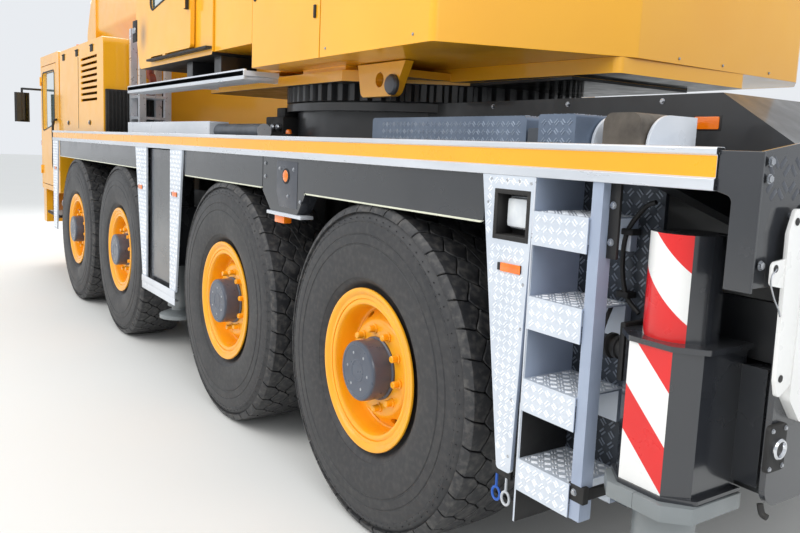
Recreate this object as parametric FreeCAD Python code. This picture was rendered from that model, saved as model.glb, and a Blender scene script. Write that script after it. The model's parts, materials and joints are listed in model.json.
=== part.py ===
import FreeCAD, Part
import math
import os
from FreeCAD import Vector

# A four-axle mobile crane, parked with its boom over the road cab and its outriggers in.
# Sizes are in millimetres. X points forward, Y to the left and Z up.
# x is counted from the rearmost axle. Each place is worked out from the one before it, from the
# wheels to the outriggers and cabs, and from the tyres' tops up to the boom.

# Gaps between pieces
seat_gap = 0.3
slide_gap = 8.0
seam_gap = 10.0

# Wheels
tyre_diameter = 1493.0
tyre_width = 445.0
rim_flange_radius = 366.0
rim_seat_radius = 318.0
rim_wall = 14.0
flange_inset = 52.0
track = 2305.0
hub_radius = 150.0
hub_cap_radius = 135.0
hub_cap_reach = 224.0
slot_count = 10
slot_radius = 26.0
slot_circle = 247.0
kingpin_offset = 292.0
kingpin_radius = 38.0
kingpin_reach = 205.0
knuckle_half_height = 150.0
spindle_radius = 60.0
axle_tube_radius = 88.0
tyre_radius = tyre_diameter / 2
wheel_y = track / 2
kingpin_y = wheel_y - kingpin_offset

# Places along the machine
tandem_gap = 182.0
rear_jack_x = -(tyre_radius + 753.5)
axle_3_x = tyre_diameter + tandem_gap
front_jack_x = axle_3_x + tyre_radius + 523.5
axle_2_x = front_jack_x + 408.5 + tyre_radius
axle_1_x = axle_2_x + tyre_diameter + tandem_gap
slew_x = axle_3_x - 275.0
rear_x = rear_jack_x - 270.0
cab_rear_x = axle_1_x + tyre_radius + 628.5
cab_length = 1600.0
cab_front_x = cab_rear_x + cab_length

# Each axle: name, x, radius of its differential
AXLES = (
    ("4", 0.0, 205.0),
    ("3", axle_3_x, 205.0),
    ("2", axle_2_x, 190.0),
    ("1", axle_1_x, 190.0),
)
SIDES = (("left", 1), ("right", -1))

# Heights: the axles keep theirs in the drawing, and save() lifts the whole machine to its tyres
axle_z = 746.5
frame_bottom = axle_z + 253.5
skirt_bottom = axle_z + tyre_radius - 12.0
rail_bottom = skirt_bottom + 175.0
rail_height = 112.0
rail_top = rail_bottom + rail_height
deck_top = rail_top - 18.0
frame_top = deck_top - 150.0

# Chassis
half_width = 1375.0
frame_half_width = 450.0
frame_wall = 16.0
side_member = 90.0
frame_step_x = front_jack_x + 355.0
frame_front_x = cab_rear_x + 1300.0
nose_bottom = frame_bottom - 180.0
spine_half_width = 560.0
spine_top = frame_top + 380.0
spine_rear_x = rear_x + 210.0
spine_front_x = slew_x - 300.0
pedestal_radius = 900.0
pedestal_top = frame_top + 385.0
ring_radius = 970.0
ring_height = 95.0
ring_teeth = 72
tooth_depth = 34.0

# Deck and its sheets
rail_rear_x = rear_x + 120.0
rail_front_x = cab_rear_x - 240.0
rail_depth = 36.0
deck_plate = 12.0
skirt_plate = 10.0
skirt_y = 1347.0
panel_y = half_width - 2.0
panel_plate = 14.0
sheet_bottom = 640.0
tail_plate = 18.0
tail_frame_depth = 30.0
bracket_x = axle_3_x / 2 + 32.5
bracket_half_length = 248.0

# Rear ladder
ladder_x = rear_jack_x + 254.0
tread_length = 233.0
tread_width = 230.0
tread_height = 110.0
tread_pitch = 279.0
TREADS = [rail_bottom - 108.0 - tread_pitch * number for number in range(4)]

# Outriggers
beam_width = 200.0
beam_height = 340.0
beam_bottom = 830.0
beam_apart = 12.0
box_wall = 20.0
flange_rim = 32.0
flange_head_room = 170.0
jack_half = 130.0
jack_chamfer = 58.0
jack_box_gap = 25.0
jack_bottom = beam_bottom - 30.0
jack_casing_top = 1215.0
jack_head_radius = 104.0
collar_plate = 16.0
leg_radius = 90.0
leg_bottom = 420.0
leg_stroke = 600.0
leg_grip = 94.0
leg_head_room = 36.0
foot_radius = 150.0
foot_drop = 50.0
leg_top = jack_bottom + leg_grip + leg_stroke
jack_head_top = leg_top + leg_head_room
cover_half_length = 277.0

# Each outrigger: name, x and y of its jack, whether a cover plate hides it
OUTRIGGERS = (
    ("rear", rear_jack_x, 1240.0, False),
    ("front", front_jack_x, 1200.0, True),
)

# Superstructure
ring_top = pedestal_top + ring_height
plate_top = ring_top + 60.0
cheek_inner_y = 367.0
cheek_plate = 38.0
housing_inner_y = cheek_inner_y + cheek_plate + 20.0
upper_half_width = 1250.0
upper_bottom = plate_top + 25.0
housing_top = upper_bottom + 795.0
tail_x = slew_x - 1930.0
tail_corner_x = slew_x - 1645.0
housing_seam_x = slew_x - 700.0
housing_front_x = slew_x + 160.0
upper_front_x = slew_x + 1500.0
winch_x = slew_x - 1050.0
winch_z = plate_top + 480.0
winch_shaft_radius = 36.0
winch_half_width = 290.0

# Boom
boom_pivot_x = slew_x - 1600.0
boom_pivot_z = plate_top + 1210.0
boom_pin_radius = 80.0
boom_width = 700.0
boom_height = 850.0
boom_bottom = boom_pivot_z - 370.0
boom_top = boom_bottom + boom_height
boom_keel = 240.0
boom_keel_share = 0.45
boom_length = 9840.0
boom_rear_x = boom_pivot_x - 340.0
boom_front_x = boom_rear_x + boom_length
boom_wall = 14.0
boom_heel = 420.0
nest_gap = 10.0
slide_step = 60.0
pad_length = 120.0
top_pad_half = 200.0
keel_pad_half = 60.0
collar_reach = 150.0
collar_rim = 22.0
head_reach = 540.0
head_plate = 30.0
head_tip_x = boom_front_x + 3 * collar_reach + head_reach
head_cheek_outer = 218.0
jib_pin_reach = 60.0
jib_pin_radius = 32.0
JIB_PIN_Z = (boom_bottom + 180.0, boom_top - 270.0)

# Luffing cylinder
cylinder_base_x = slew_x - 250.0
cylinder_base_z = plate_top + 290.0
cylinder_eye_x = slew_x + 2900.0
cylinder_eye_z = boom_bottom - 180.0
cylinder_radius = 150.0
cylinder_rod_radius = 90.0
cylinder_pin_radius = 60.0
cylinder_eye_radius = 140.0
cylinder_eye_width = 200.0

# Road cab
cab_half_width = 1250.0
cab_floor = frame_bottom + 20.0
cab_roof = cab_floor + 1680.0
cab_wall = 50.0
cab_door_rear_x = cab_rear_x + 180.0
cab_door_front_x = cab_rear_x + 1120.0
cab_door_bottom = cab_floor + 60.0
cab_door_top = cab_roof - 120.0
cab_waist = cab_floor + 740.0
cab_glass_inset = 22.0
cab_glass = 8.0
screen_pillar = 260.0
screen_width = 2 * (cab_half_width - screen_pillar)
screen_height = 760.0
screen_z = cab_floor + 1155.0
cab_hinge_out = 12.0
cab_hinge_radius = 10.0
cab_hinge_height = 70.0
CAB_HINGE_Z = (cab_floor + 230.0, cab_roof - 320.0)
bumper_rear_x = cab_rear_x + 1180.0
bumper_front_x = cab_front_x - 5.0
bumper_bottom = 560.0
bumper_top = 1000.0
tow_pin_radius = 26.0
tow_pin_x = cab_front_x - 50.0
tow_pin_z = 780.0
tow_half_height = 80.0

# Crane cab
perch_rear_x = slew_x + 780.0
perch_length = 1770.0
perch_front_x = perch_rear_x + perch_length
perch_inner_y = 425.0
perch_bottom = plate_top + 150.0
perch_top = perch_bottom + 1470.0
perch_wall = 40.0
perch_door_rear_x = perch_rear_x + 320.0
perch_door_front_x = perch_rear_x + 1300.0
perch_door_y = upper_half_width + 7.0
perch_door_plate = 30.0
perch_door_bottom = perch_bottom + 67.0
perch_door_top = perch_top - 100.0
perch_door_travel = 800.0
perch_rail = 16.0
perch_rail_gap = 12.0
perch_middle_y = (perch_inner_y + upper_half_width) / 2
pane_gap = 0.5

# Engine housing behind the road cab
hood_length = 2040.0
hood_front_x = cab_rear_x - 60.0
hood_rear_x = hood_front_x - hood_length
hood_top = deck_top + 930.0
hood_plate = 20.0
louvre_count = 8
louvre_pitch = 60.0
louvre_height = 26.0
engine_half_width = frame_half_width - side_member - seat_gap

# Stowed hook block
hook_x = hood_rear_x - 235.0
hook_y = 870.0
hook_shelf_top = deck_top + 375.0
hook_outer_radius = 110.0
hook_inner_radius = 58.0
hook_thickness = 60.0
hook_z = hook_shelf_top + seat_gap + hook_outer_radius
stand_post = 60.0

origin_x = (rear_x - tail_frame_depth + head_tip_x) / 2
floor_z = axle_z - tyre_radius


# Drawing helpers

def outline(corners, place):
    """Closed wire through corners (a, b, radius of the round there), put in space by place(a, b)."""
    points = []
    for number, (a, b, radius) in enumerate(corners):
        here = Vector(a, b, 0)
        before = corners[number - 1]
        after = corners[(number + 1) % len(corners)]
        back = (Vector(before[0], before[1], 0) - here).normalize()
        ahead = (Vector(after[0], after[1], 0) - here).normalize()
        if radius <= 0:
            points.append((here, None, here))
            continue
        half = back.getAngle(ahead) / 2
        bisector = (back + ahead).normalize()
        centre = here + bisector * (radius / math.sin(half))
        reach = radius / math.tan(half)
        points.append((here + back * reach, centre - bisector * radius, here + ahead * reach))
    edges = []
    for number, (start, middle, end) in enumerate(points):
        if middle is not None:
            edges.append(Part.Arc(place(*start[:2]), place(*middle[:2]), place(*end[:2])).toShape())
        onward = points[(number + 1) % len(points)][0]
        if end.distanceToPoint(onward) > 1e-6:
            edges.append(Part.LineSegment(place(*end[:2]), place(*onward[:2])).toShape())
    return Part.Wire(edges)


def cornered(points, radius=0.0):
    return [(a, b, radius) for a, b in points]


def slab_y(corners, y0, y1):
    """Outline in x and z, from y0 to y1."""
    face = Part.Face(outline(corners, lambda a, b: Vector(a, y0, b)))
    return face.extrude(Vector(0, y1 - y0, 0))


def slab_z(corners, z0, z1):
    """Outline in x and y, from z0 to z1."""
    face = Part.Face(outline(corners, lambda a, b: Vector(a, b, z0)))
    return face.extrude(Vector(0, 0, z1 - z0))


def slab_x(corners, x0, x1):
    """Outline in y and z, from x0 to x1."""
    face = Part.Face(outline(corners, lambda a, b: Vector(x0, a, b)))
    return face.extrude(Vector(x1 - x0, 0, 0))


def box(x0, x1, y0, y1, z0, z1):
    return Part.makeBox(x1 - x0, y1 - y0, z1 - z0, Vector(x0, y0, z0))


def bar(radius, start, end):
    """Round bar from point to point."""
    start, end = Vector(*start), Vector(*end)
    return Part.makeCylinder(radius, (end - start).Length, start, end - start)


def cross_bar(radius, x, z, y0, y1):
    """Round bar along Y."""
    return bar(radius, (x, y0, z), (x, y1, z))


def upright(radius, x, y, z0, z1):
    """Round bar along Z."""
    return bar(radius, (x, y, z0), (x, y, z1))


def rounded(width, height, radius, a=0.0, b=0.0):
    """Corners of a rectangle about (a, b) with equal rounds."""
    w, h = width / 2, height / 2
    return cornered([(a - w, b - h), (a + w, b - h), (a + w, b + h), (a - w, b + h)], radius)


def turned(profile, x, z, side):
    """Solid turned about a line along Y through (x, z), from corners (reach outward, radius, round)."""
    wire = outline(profile, lambda a, b: Vector(x, a, z + b))
    solid = Part.Face(wire).revolve(Vector(x, 0, z), Vector(0, 1, 0), 360)
    return solid if side > 0 else flipped(solid)


def flipped(shape):
    """The same shape on the other side of the machine."""
    return shape.mirror(Vector(0, 0, 0), Vector(0, 1, 0))


def both(shape):
    return [shape, flipped(shape)]


def on_side(shape, side):
    return shape if side > 0 else flipped(shape)


def joined(*shapes):
    body = shapes[0]
    if len(shapes) > 1:
        body = body.multiFuse(list(shapes[1:]))
    return body.removeSplitter()


def without(shape, *tools):
    return shape.cut(list(tools))


def save(name, *shapes):
    """Write one node, standing on its tyres at z = 0. Its solids don't touch each other."""
    solids = []
    for shape in shapes:
        solids += shape.Solids
    node = solids[0] if len(solids) == 1 else Part.makeCompound(solids)
    node = node.copy()
    node.translate(Vector(-origin_x, 0, -floor_z))
    node.exportStep(f"parts/{name}.step")


# Wheels and steering knuckles

def tyre(x, side):
    half, r = tyre_width / 2, tyre_radius
    bead = half - flange_inset - seat_gap
    outer_half = [(bead, rim_seat_radius + seat_gap, 0), (bead, rim_flange_radius + 8, 0),
                  (half - 4, rim_flange_radius + 50, 30), (half, r - 190, 60),
                  (half - 14, r - 62, 0), (half - 40, r - 14, 0)]
    profile = [(wheel_y - y, radius, turn) for y, radius, turn in outer_half]
    profile.append((wheel_y, r, 0))
    profile += [(wheel_y + y, radius, turn) for y, radius, turn in reversed(outer_half)]
    return turned(profile, x, axle_z, side)


def rim(x, side):
    """Deep-dished disc wheel with its hub cap, hollow towards the machine."""
    seat = tyre_width / 2 - flange_inset
    lip = seat + rim_wall
    inner = rim_seat_radius - rim_wall
    shell = turned(cornered([
        (wheel_y - seat, rim_seat_radius), (wheel_y - seat, rim_flange_radius),
        (wheel_y - lip, rim_flange_radius), (wheel_y - lip, inner),
        (wheel_y + lip, inner), (wheel_y + lip, rim_flange_radius),
        (wheel_y + seat, rim_flange_radius), (wheel_y + seat, rim_seat_radius),
    ]), x, axle_z, 1)
    bore = spindle_radius + seat_gap
    disc_plate = 24.0
    disc_y = wheel_y + 92
    disc = turned(cornered([
        (disc_y - 52, inner + 4), (disc_y - 52, inner - 40), (disc_y, 205), (disc_y, bore),
        (disc_y + disc_plate, bore), (disc_y + disc_plate, 215), (disc_y - 28, inner - 28),
        (disc_y - 28, inner + 4),
    ]), x, axle_z, 1)
    cap_end = wheel_y + hub_cap_reach
    bore_end = cap_end - 30
    hub = turned([
        (wheel_y - 60, bore, 0), (wheel_y - 60, hub_radius, 0), (wheel_y + 100, hub_radius, 0),
        (wheel_y + 130, hub_cap_radius, 0), (cap_end, hub_cap_radius, 14), (cap_end, 0, 0),
        (bore_end, 0, 0), (bore_end, bore, 0),
    ], x, axle_z, 1)
    slots = []
    for number in range(slot_count):
        slot = cross_bar(slot_radius, x, axle_z + slot_circle, wheel_y + 20, wheel_y + 120)
        slot.rotate(Vector(x, 0, axle_z), Vector(0, 1, 0), 360 / slot_count * number)
        slots.append(slot)
    return on_side(without(joined(shell, disc, hub), *slots), side)


def knuckle(x, side):
    """Kingpin boss with its pin, spindle, brake plate and steering arm."""
    high, low = axle_z + knuckle_half_height, axle_z - knuckle_half_height
    boss = upright(88, x, kingpin_y, low, high)
    pin = upright(kingpin_radius, x, kingpin_y, axle_z - kingpin_reach, axle_z + kingpin_reach)
    spindle = cross_bar(spindle_radius, x, axle_z, kingpin_y, wheel_y + hub_cap_reach - 39)
    plate = cross_bar(235, x, axle_z, wheel_y - 130, wheel_y - 96)
    neck = cross_bar(120, x, axle_z, kingpin_y + 60, wheel_y - 110)
    arm = slab_z([(x - 330, kingpin_y - 25, 20), (x, kingpin_y - 30, 0), (x, kingpin_y + 50, 0),
                  (x - 330, kingpin_y + 20, 20)], axle_z - 80, axle_z - 40)
    return on_side(joined(boss, pin, spindle, plate, neck, arm), side)


def axle(x, bulge):
    """Beam with its differential, forked ends round the kingpins, and suspension legs."""
    tube = axle_tube_radius
    end = kingpin_y + 92
    throat = kingpin_y - 105
    jaw = knuckle_half_height + 3
    beam = cross_bar(tube, x, axle_z, -kingpin_y + 150, kingpin_y - 150)
    cover = bulge - 70
    differential = turned([(-120, 0, 0), (-120, cover, 0), (-60, bulge, 50), (60, bulge, 50),
                           (120, cover, 0), (120, 0, 0)], x, axle_z, 1)
    fork = slab_x([(kingpin_y - 215, axle_z - tube, 20), (kingpin_y - 110, axle_z - 200, 20),
                   (end, axle_z - 200, 30), (end, axle_z - jaw, 0),
                   (throat, axle_z - jaw, 20), (throat, axle_z + jaw, 20),
                   (end, axle_z + jaw, 0), (end, axle_z + 200, 30),
                   (kingpin_y - 110, axle_z + 200, 20), (kingpin_y - 215, axle_z + tube, 20)],
                  x - 85, x + 85)
    pin_hole = upright(kingpin_radius + seat_gap, x, kingpin_y, axle_z - 220, axle_z + 220)
    leg_y = frame_half_width + 110
    rod = upright(58, x, leg_y, axle_z + 60, frame_top - 400)
    cylinder = upright(78, x, leg_y, frame_top - 440, frame_top - 100)
    return joined(beam, differential, *both(without(fork, pin_hole)), *both(joined(rod, cylinder)))


# Chassis

def outrigger_box(x, jack_y):
    """Cross tube for two beams with a flange at each end, and the space inside it."""
    end = jack_y - jack_half - jack_box_gap
    half = beam_width + beam_apart / 2 + slide_gap
    low, high = beam_bottom - seat_gap, beam_bottom + beam_height + slide_gap
    outer = box(x - half - box_wall, x + half + box_wall, -end, end, low - box_wall, high + box_wall)
    wide, top = half + flange_rim, high + flange_head_room
    flange = slab_y([(x - wide, low - flange_rim, 40), (x + wide, low - flange_rim, 40),
                     (x + wide, top, 60), (x - wide, top, 60)], end - 26, end)
    hollow = box(x - half, x + half, -end - 1, end + 1, low, high)
    return joined(outer, *both(flange)), hollow


def side_members():
    """Long frame rails that drop ahead of the front axle to pass below the road cab."""
    w = frame_half_width
    return both(slab_y([
        (frame_step_x - 50, frame_bottom + 60, 0), (axle_2_x + 700, frame_bottom + 130, 60),
        (cab_rear_x - 500, frame_bottom + 130, 60), (cab_rear_x - 200, nose_bottom, 60),
        (frame_front_x, nose_bottom, 0), (frame_front_x, frame_bottom, 0),
        (cab_rear_x - 50, frame_bottom, 60), (cab_rear_x - 370, frame_top, 60),
        (frame_step_x - 50, frame_top, 0)], w - side_member, w))


def cross_members():
    w = frame_half_width - 10
    return [box(axle_2_x + 600, axle_2_x + 760, -w, w, frame_bottom + 180, frame_bottom + 480),
            box(cab_rear_x - 360, cab_rear_x - 270, -w, w, frame_bottom + 180, frame_bottom + 300),
            box(frame_front_x - 250, frame_front_x - 120, -w, w, nose_bottom + 10, frame_bottom - 10)]


def deck_struts():
    """Brackets from the frame out to the deck, between the wheels."""
    top = deck_top - deck_plate - seat_gap
    out = skirt_y - 8
    profile = cornered([(frame_half_width - 20, frame_top - 200), (out, top - 50), (out, top),
                        (frame_half_width - 20, top)])
    places = (rear_jack_x - 180, rear_jack_x + 115, axle_3_x / 2, front_jack_x - 465,
              front_jack_x + 385, axle_2_x + 840, cab_rear_x - 550)
    return [solid for x in places for solid in both(slab_x(profile, x - 35, x + 35))]


def chassis_frame():
    w, low, high = frame_half_width, frame_bottom, frame_top
    tail = rear_x + tail_plate + seat_gap
    main = box(tail, frame_step_x, -w, w, low, high)
    hollow = box(tail + frame_wall, frame_step_x - frame_wall, -w + frame_wall, w - frame_wall,
                 low + frame_wall, high - frame_wall)
    spine = slab_y(cornered([
        (spine_rear_x, high - 1), (spine_front_x, high - 1), (spine_front_x, spine_top),
        (spine_rear_x + 450, spine_top), (spine_rear_x + 130, high + 180),
        (spine_rear_x, high + 180)]), -spine_half_width, spine_half_width)
    pedestal = upright(pedestal_radius, slew_x, 0, high - 60, pedestal_top)
    lip = upright(ring_radius, slew_x, 0, pedestal_top - 55, pedestal_top - 10)
    boxes, hollows = zip(*(outrigger_box(x, jack_y) for _, x, jack_y, _ in OUTRIGGERS))
    hangers = []
    for _, x, _ in AXLES:
        hangers += both(box(x - 110, x + 110, w - 20, w + 220, high - 100 + seat_gap, high))
    saddles = [box(x - 150, x + 150, -w, w, beam_bottom + beam_height, high - 300)
               for _, x, _, _ in OUTRIGGERS]
    frame = joined(main, *side_members(), *cross_members(), spine, pedestal, lip, *boxes,
                   *deck_struts(), *hangers, *saddles)
    return without(frame, hollow, *hollows)


def front_bumper():
    """Bowed shell with lamp pockets, and the jaws that hold a tow bar's eye between them."""
    rear, front = bumper_rear_x, bumper_front_x
    low, high = bumper_bottom, bumper_top
    shape = slab_z([(rear, -1200, 0), (rear, 1200, 0), (front - 185, 1200, 120), (front, 900, 300),
                    (front, -900, 300), (front - 185, -1200, 120)], low, high)
    mouth = slab_z([(rear - 80, -1120, 0), (rear - 80, 1120, 0), (front - 245, 1120, 60),
                    (front - 65, 850, 200), (front - 65, -850, 200), (front - 245, -1120, 60)],
                   low + 40, high + 60)
    lamps = both(bar(75, (front - 145, 880, tow_pin_z), (front + 155, 880, tow_pin_z)))
    recess = box(front - 105, front + 55, -120, 120, low - 1, high - 60)
    jaws = box(rear + seat_gap, front - 5, -70, 70, tow_pin_z - tow_half_height, tow_pin_z + tow_half_height)
    slot = box(front - 105, front + 55, -90, 90, tow_pin_z - 20, tow_pin_z + 20)
    hole = upright(tow_pin_radius, tow_pin_x, 0, tow_pin_z - tow_half_height - 10,
                   tow_pin_z + tow_half_height + 10)
    brackets = both(box(frame_front_x + seat_gap, front - 25, frame_half_width - side_member,
                        frame_half_width, nose_bottom + 10, frame_bottom - 40))
    return without(joined(without(shape, mouth, recess, *lamps), jaws, *brackets), slot, hole)


# Deck, skirts and side panels

def deck():
    """Plate with a channel rail along each side, cut out round the spine, ring and engine."""
    z1, z0 = deck_top, deck_top - deck_plate
    lip = 14.0
    inner = half_width - rail_depth
    plate = box(rail_rear_x, rail_front_x, -inner - 1, inner + 1, z0, z1)
    spine_hole = box(spine_rear_x - seat_gap, spine_front_x + 200, -spine_half_width - seat_gap,
                     spine_half_width + seat_gap, z0 - 1, z1 + 1)
    ring_hole = upright(ring_radius + seam_gap, slew_x, 0, z0 - 1, z1 + 1)
    engine_hole = box(hood_rear_x + 150, hood_front_x + 1, -frame_half_width + side_member,
                      frame_half_width - side_member, z0 - 1, z1 + 1)
    rail = slab_x([(inner, rail_bottom, 0), (half_width, rail_bottom, 4),
                   (half_width, rail_bottom + 30, 0), (half_width - 6, rail_bottom + 34, 0),
                   (half_width - 6, rail_top - 22, 0), (half_width, rail_top - 18, 0),
                   (half_width, rail_top, 6), (inner, rail_top, 4), (inner, rail_top - lip, 0),
                   (half_width - lip, rail_top - lip, 0), (half_width - lip, rail_bottom + lip, 0),
                   (inner, rail_bottom + lip, 0)], rail_rear_x, rail_front_x)
    web = box(rail_rear_x, rail_front_x, inner - 2, half_width - lip + 1, z0, z1)
    return joined(without(plate, spine_hole, ring_hole, engine_hole), *both(rail), *both(web))


# Each skirt: x of its rear and front ends
SKIRTS = (
    (-tyre_radius - 3.5, bracket_x - bracket_half_length - 2),
    (bracket_x + bracket_half_length + 2, front_jack_x - 545),
    (front_jack_x + 585, cab_rear_x - 560),
)


def dark_panels():
    """Skirts behind the rail over the wheels, brackets between them, rear posts and tail cover."""
    top = rail_bottom - seat_gap
    sheets = []
    for x0, x1 in SKIRTS:
        sheets.append(slab_y([(x0, skirt_bottom, 25), (x1, skirt_bottom, 25), (x1, top, 0),
                              (x0, top, 0)], skirt_y, skirt_y + skirt_plate))
    x0, x1 = bracket_x - bracket_half_length, bracket_x + bracket_half_length
    side_z, foot_z = skirt_bottom - 11, skirt_bottom - 111
    sheets.append(slab_y([(x0, top, 0), (x1, top, 0), (x1, side_z, 20), (x1 - 108, foot_z, 20),
                          (x0 + 78, foot_z, 20), (x0, side_z, 20)],
                         skirt_y - 70, skirt_y + skirt_plate - 2))
    sheets.append(rear_post())
    return [solid for sheet in sheets for solid in both(sheet)] + [tail_cover()]


def rear_post():
    """Upright at the rail's rear end: a side sheet, narrower below the rail, and its inner fold."""
    inner = half_width - 23 + seat_gap
    low, high = skirt_bottom - 71, rail_top - 8
    fold_x = rear_x + 50
    side = slab_y([(rear_x, low, 0), (rear_x + 75, low, 0), (rear_x + 75, rail_bottom - 12, 20),
                   (rail_rear_x - seat_gap, rail_bottom, 0), (rail_rear_x - seat_gap, high, 0),
                   (rear_x, high, 0)], inner, half_width - 12)
    return joined(side, box(fold_x - 8, fold_x, inner - 130, inner + 1, low, high))


def tail_cover():
    """Folded cover across the tail with a lower panel inside the outriggers' flanges."""
    y, high = half_width - 23, rail_top - 8
    top = slab_x(cornered([(-y, high - 340), (y, high - 340), (y, high), (600, high + 120),
                           (-600, high + 120), (-y, high)]), rear_x + 6, rear_x + tail_plate)
    low = slab_x([(-1200, jack_bottom + 10, 60), (1200, jack_bottom + 10, 60), (1200, high - 330, 0),
                  (-1200, high - 330, 0)], rear_x, rear_x + tail_plate)
    return joined(top, low)


def rear_ladder():
    """Panel with its lamp hole, hollow treads, side plates, backing sheet and mudflap."""
    y1 = panel_y
    top = rail_bottom - seat_gap
    front = ladder_x + tread_length
    panel = slab_y([(front + 34, sheet_bottom, 15), (front + 104, sheet_bottom, 15), (front + 260, top, 0),
                    (front - 1, top, 0)], y1 - panel_plate, y1)
    lamp_hole = slab_y(rounded(150, 147, 12, front + 105, rail_bottom - 132.5), y1 - panel_plate - 1, y1 + 1)
    treads = []
    for height in TREADS:
        outer = box(ladder_x, front, y1 - tread_width, y1, height - tread_height, height)
        hollow = box(ladder_x - 1, front + 1, y1 - tread_width + 30, y1 - 4, height - tread_height - 1,
                     height - 5)
        treads.append(without(outer, hollow))
    rear_rail = box(ladder_x - 42, ladder_x, y1 - 60, y1 - 8, sheet_bottom - 40, top)
    front_plate = box(front, front + 13, y1 - tread_width - 2, y1 - 8, sheet_bottom - 40, top)
    back_x, back_low = ladder_x - 94, beam_bottom + beam_height + 60
    backing = slab_y([(ladder_x - 42, sheet_bottom - 40, 0), (front + 13, sheet_bottom - 40, 0),
                      (front + 13, top, 0), (back_x, top, 0), (back_x, back_low, 20),
                      (ladder_x - 42, back_low, 0)],
                     y1 - tread_width - 16, y1 - tread_width)
    mudflap = box(front + 7, front + 15, y1 - 430, y1 - 8, 480, 900)
    return joined(without(panel, lamp_hole), *treads, rear_rail, front_plate, backing, mudflap)


def side_panels():
    """Bright sheets beside the outrigger's cover and ahead of the front wheels, and the ladders."""
    top = rail_bottom - seat_gap
    jack, cab = front_jack_x, cab_rear_x
    outlines = (
        [(jack + 285, sheet_bottom, 0), (jack + 385, sheet_bottom, 20), (jack + 585, top, 0),
         (jack + 285, top, 0)],
        [(jack - 415, sheet_bottom, 20), (jack - 285, sheet_bottom, 0), (jack - 285, top, 0),
         (jack - 545, top, 0)],
        [(cab - 430, sheet_bottom, 0), (cab - 250, sheet_bottom, 20), (cab - 250, top, 0),
         (cab - 550, top, 0)],
    )
    sheets = [slab_y(corners, panel_y - panel_plate, panel_y) for corners in outlines]
    return [solid for sheet in sheets + [rear_ladder()] for solid in both(sheet)]


# Boxes and plates on the deck: x0 and x1 from the slewing axis, y0, y1, height, round of the edges
DECK_BOXES = (
    (1000.0, 3050.0, 1040.0, 1180.0, 112.0, 12.0),
    (-1960.0, -830.0, 760.0, 1000.0, 128.0, 20.0),
    (-2140.0, -1970.0, 760.0, 1000.0, 80.0, 10.0),
    (-2330.0, -2150.0, 820.0, 1120.0, 124.0, 10.0),
    (-2400.0, -2331.0, 820.0, 1120.0, 20.0, 4.0),
    (-2560.0, -2401.0, 900.0, 1060.0, 130.0, 40.0),
    (-2700.0, -2561.0, 820.0, 1120.0, 20.0, 4.0),
)


def deck_boxes():
    base = deck_top + seat_gap
    pieces = []
    for back, ahead, y0, y1, height, radius in DECK_BOXES:
        x0, x1, top = slew_x + back, slew_x + ahead, deck_top + height
        pieces += both(slab_y([(x0, base, 0), (x1, base, 0), (x1, top, radius), (x0, top, radius)], y0, y1))
    x0, x1, radius = slew_x + 250, slew_x + 980, 48.0
    tube = bar(radius, (x0, 1110, base + radius), (x1, 1110, base + radius))
    feet = [box(x, x + 40, 1080, 1140, base, base + 40) for x in (x0 + 50, x1 - 90)]
    return pieces + both(joined(tube, *feet))


def tail_frame(side):
    """White lamp frame on the tail, a plate with a window."""
    z0, z1 = sheet_bottom + 410, skirt_bottom + 149
    x0, x1 = rear_x - tail_frame_depth, rear_x - seat_gap
    plate = slab_x([(620, z0, 30), (1120, z0, 30), (1180, z0 + 70, 30), (1180, z1, 30), (620, z1, 30)],
                   x0, x1)
    window = slab_x(cornered([(690, z0 + 90), (1090, z0 + 90), (1090, z1 - 220), (690, z1 - 220)], 40),
                    x0 - 1, x1 + 1)
    return on_side(without(plate, window), side)


def hook_stand():
    """Bright posts behind the engine housing, with a cradle for the stowed block."""
    base = deck_top + seat_gap
    x0, x1, y0, y1 = hook_x - 175, hook_x + 175, hook_y - 150, hook_y + 150
    p = stand_post
    posts = [box(x, x + p, y, y + p, base, hood_top + 80) for x in (x0, x1 - p) for y in (y0, y1 - p)]
    shelf = box(x0, x1, y0, y1, hook_shelf_top - 25, hook_shelf_top)
    lower_shelf = box(x0, x1, y0, y1, deck_top + 150, deck_top + 175)
    return joined(*posts, shelf, lower_shelf)


def hook_block():
    """Sheave block with its hook, standing in the cradle."""
    x, y, z = hook_x, hook_y, hook_z
    half = hook_thickness / 2
    block_z = z + 455
    bowl = without(cross_bar(hook_outer_radius, x, z, y - half, y + half),
                   cross_bar(hook_inner_radius, x, z, y - half - 1, y + half + 1),
                   box(x + 16, x + hook_outer_radius + 1, y - half - 1, y + half + 1, z + 8, z + 112))
    shank = upright(34, x, y, z + 75, block_z - 220)
    crosshead = box(x - 55, x + 55, y - 52, y + 52, block_z - 250, block_z - 180)
    plate = [(x - 120, block_z - 240, 50), (x + 120, block_z - 240, 50), (x + 60, block_z + 210, 60),
             (x - 60, block_z + 210, 60)]
    cheeks = [slab_y(plate, y + dy, y + dy + 20) for dy in (-70, 50)]
    sheave = cross_bar(165, x, block_z, y - 20, y + 20)
    pin = cross_bar(30, x, block_z, y - 85, y + 85)
    return joined(bowl, shank, crosshead, *cheeks, sheave, pin)


# Outriggers

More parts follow.
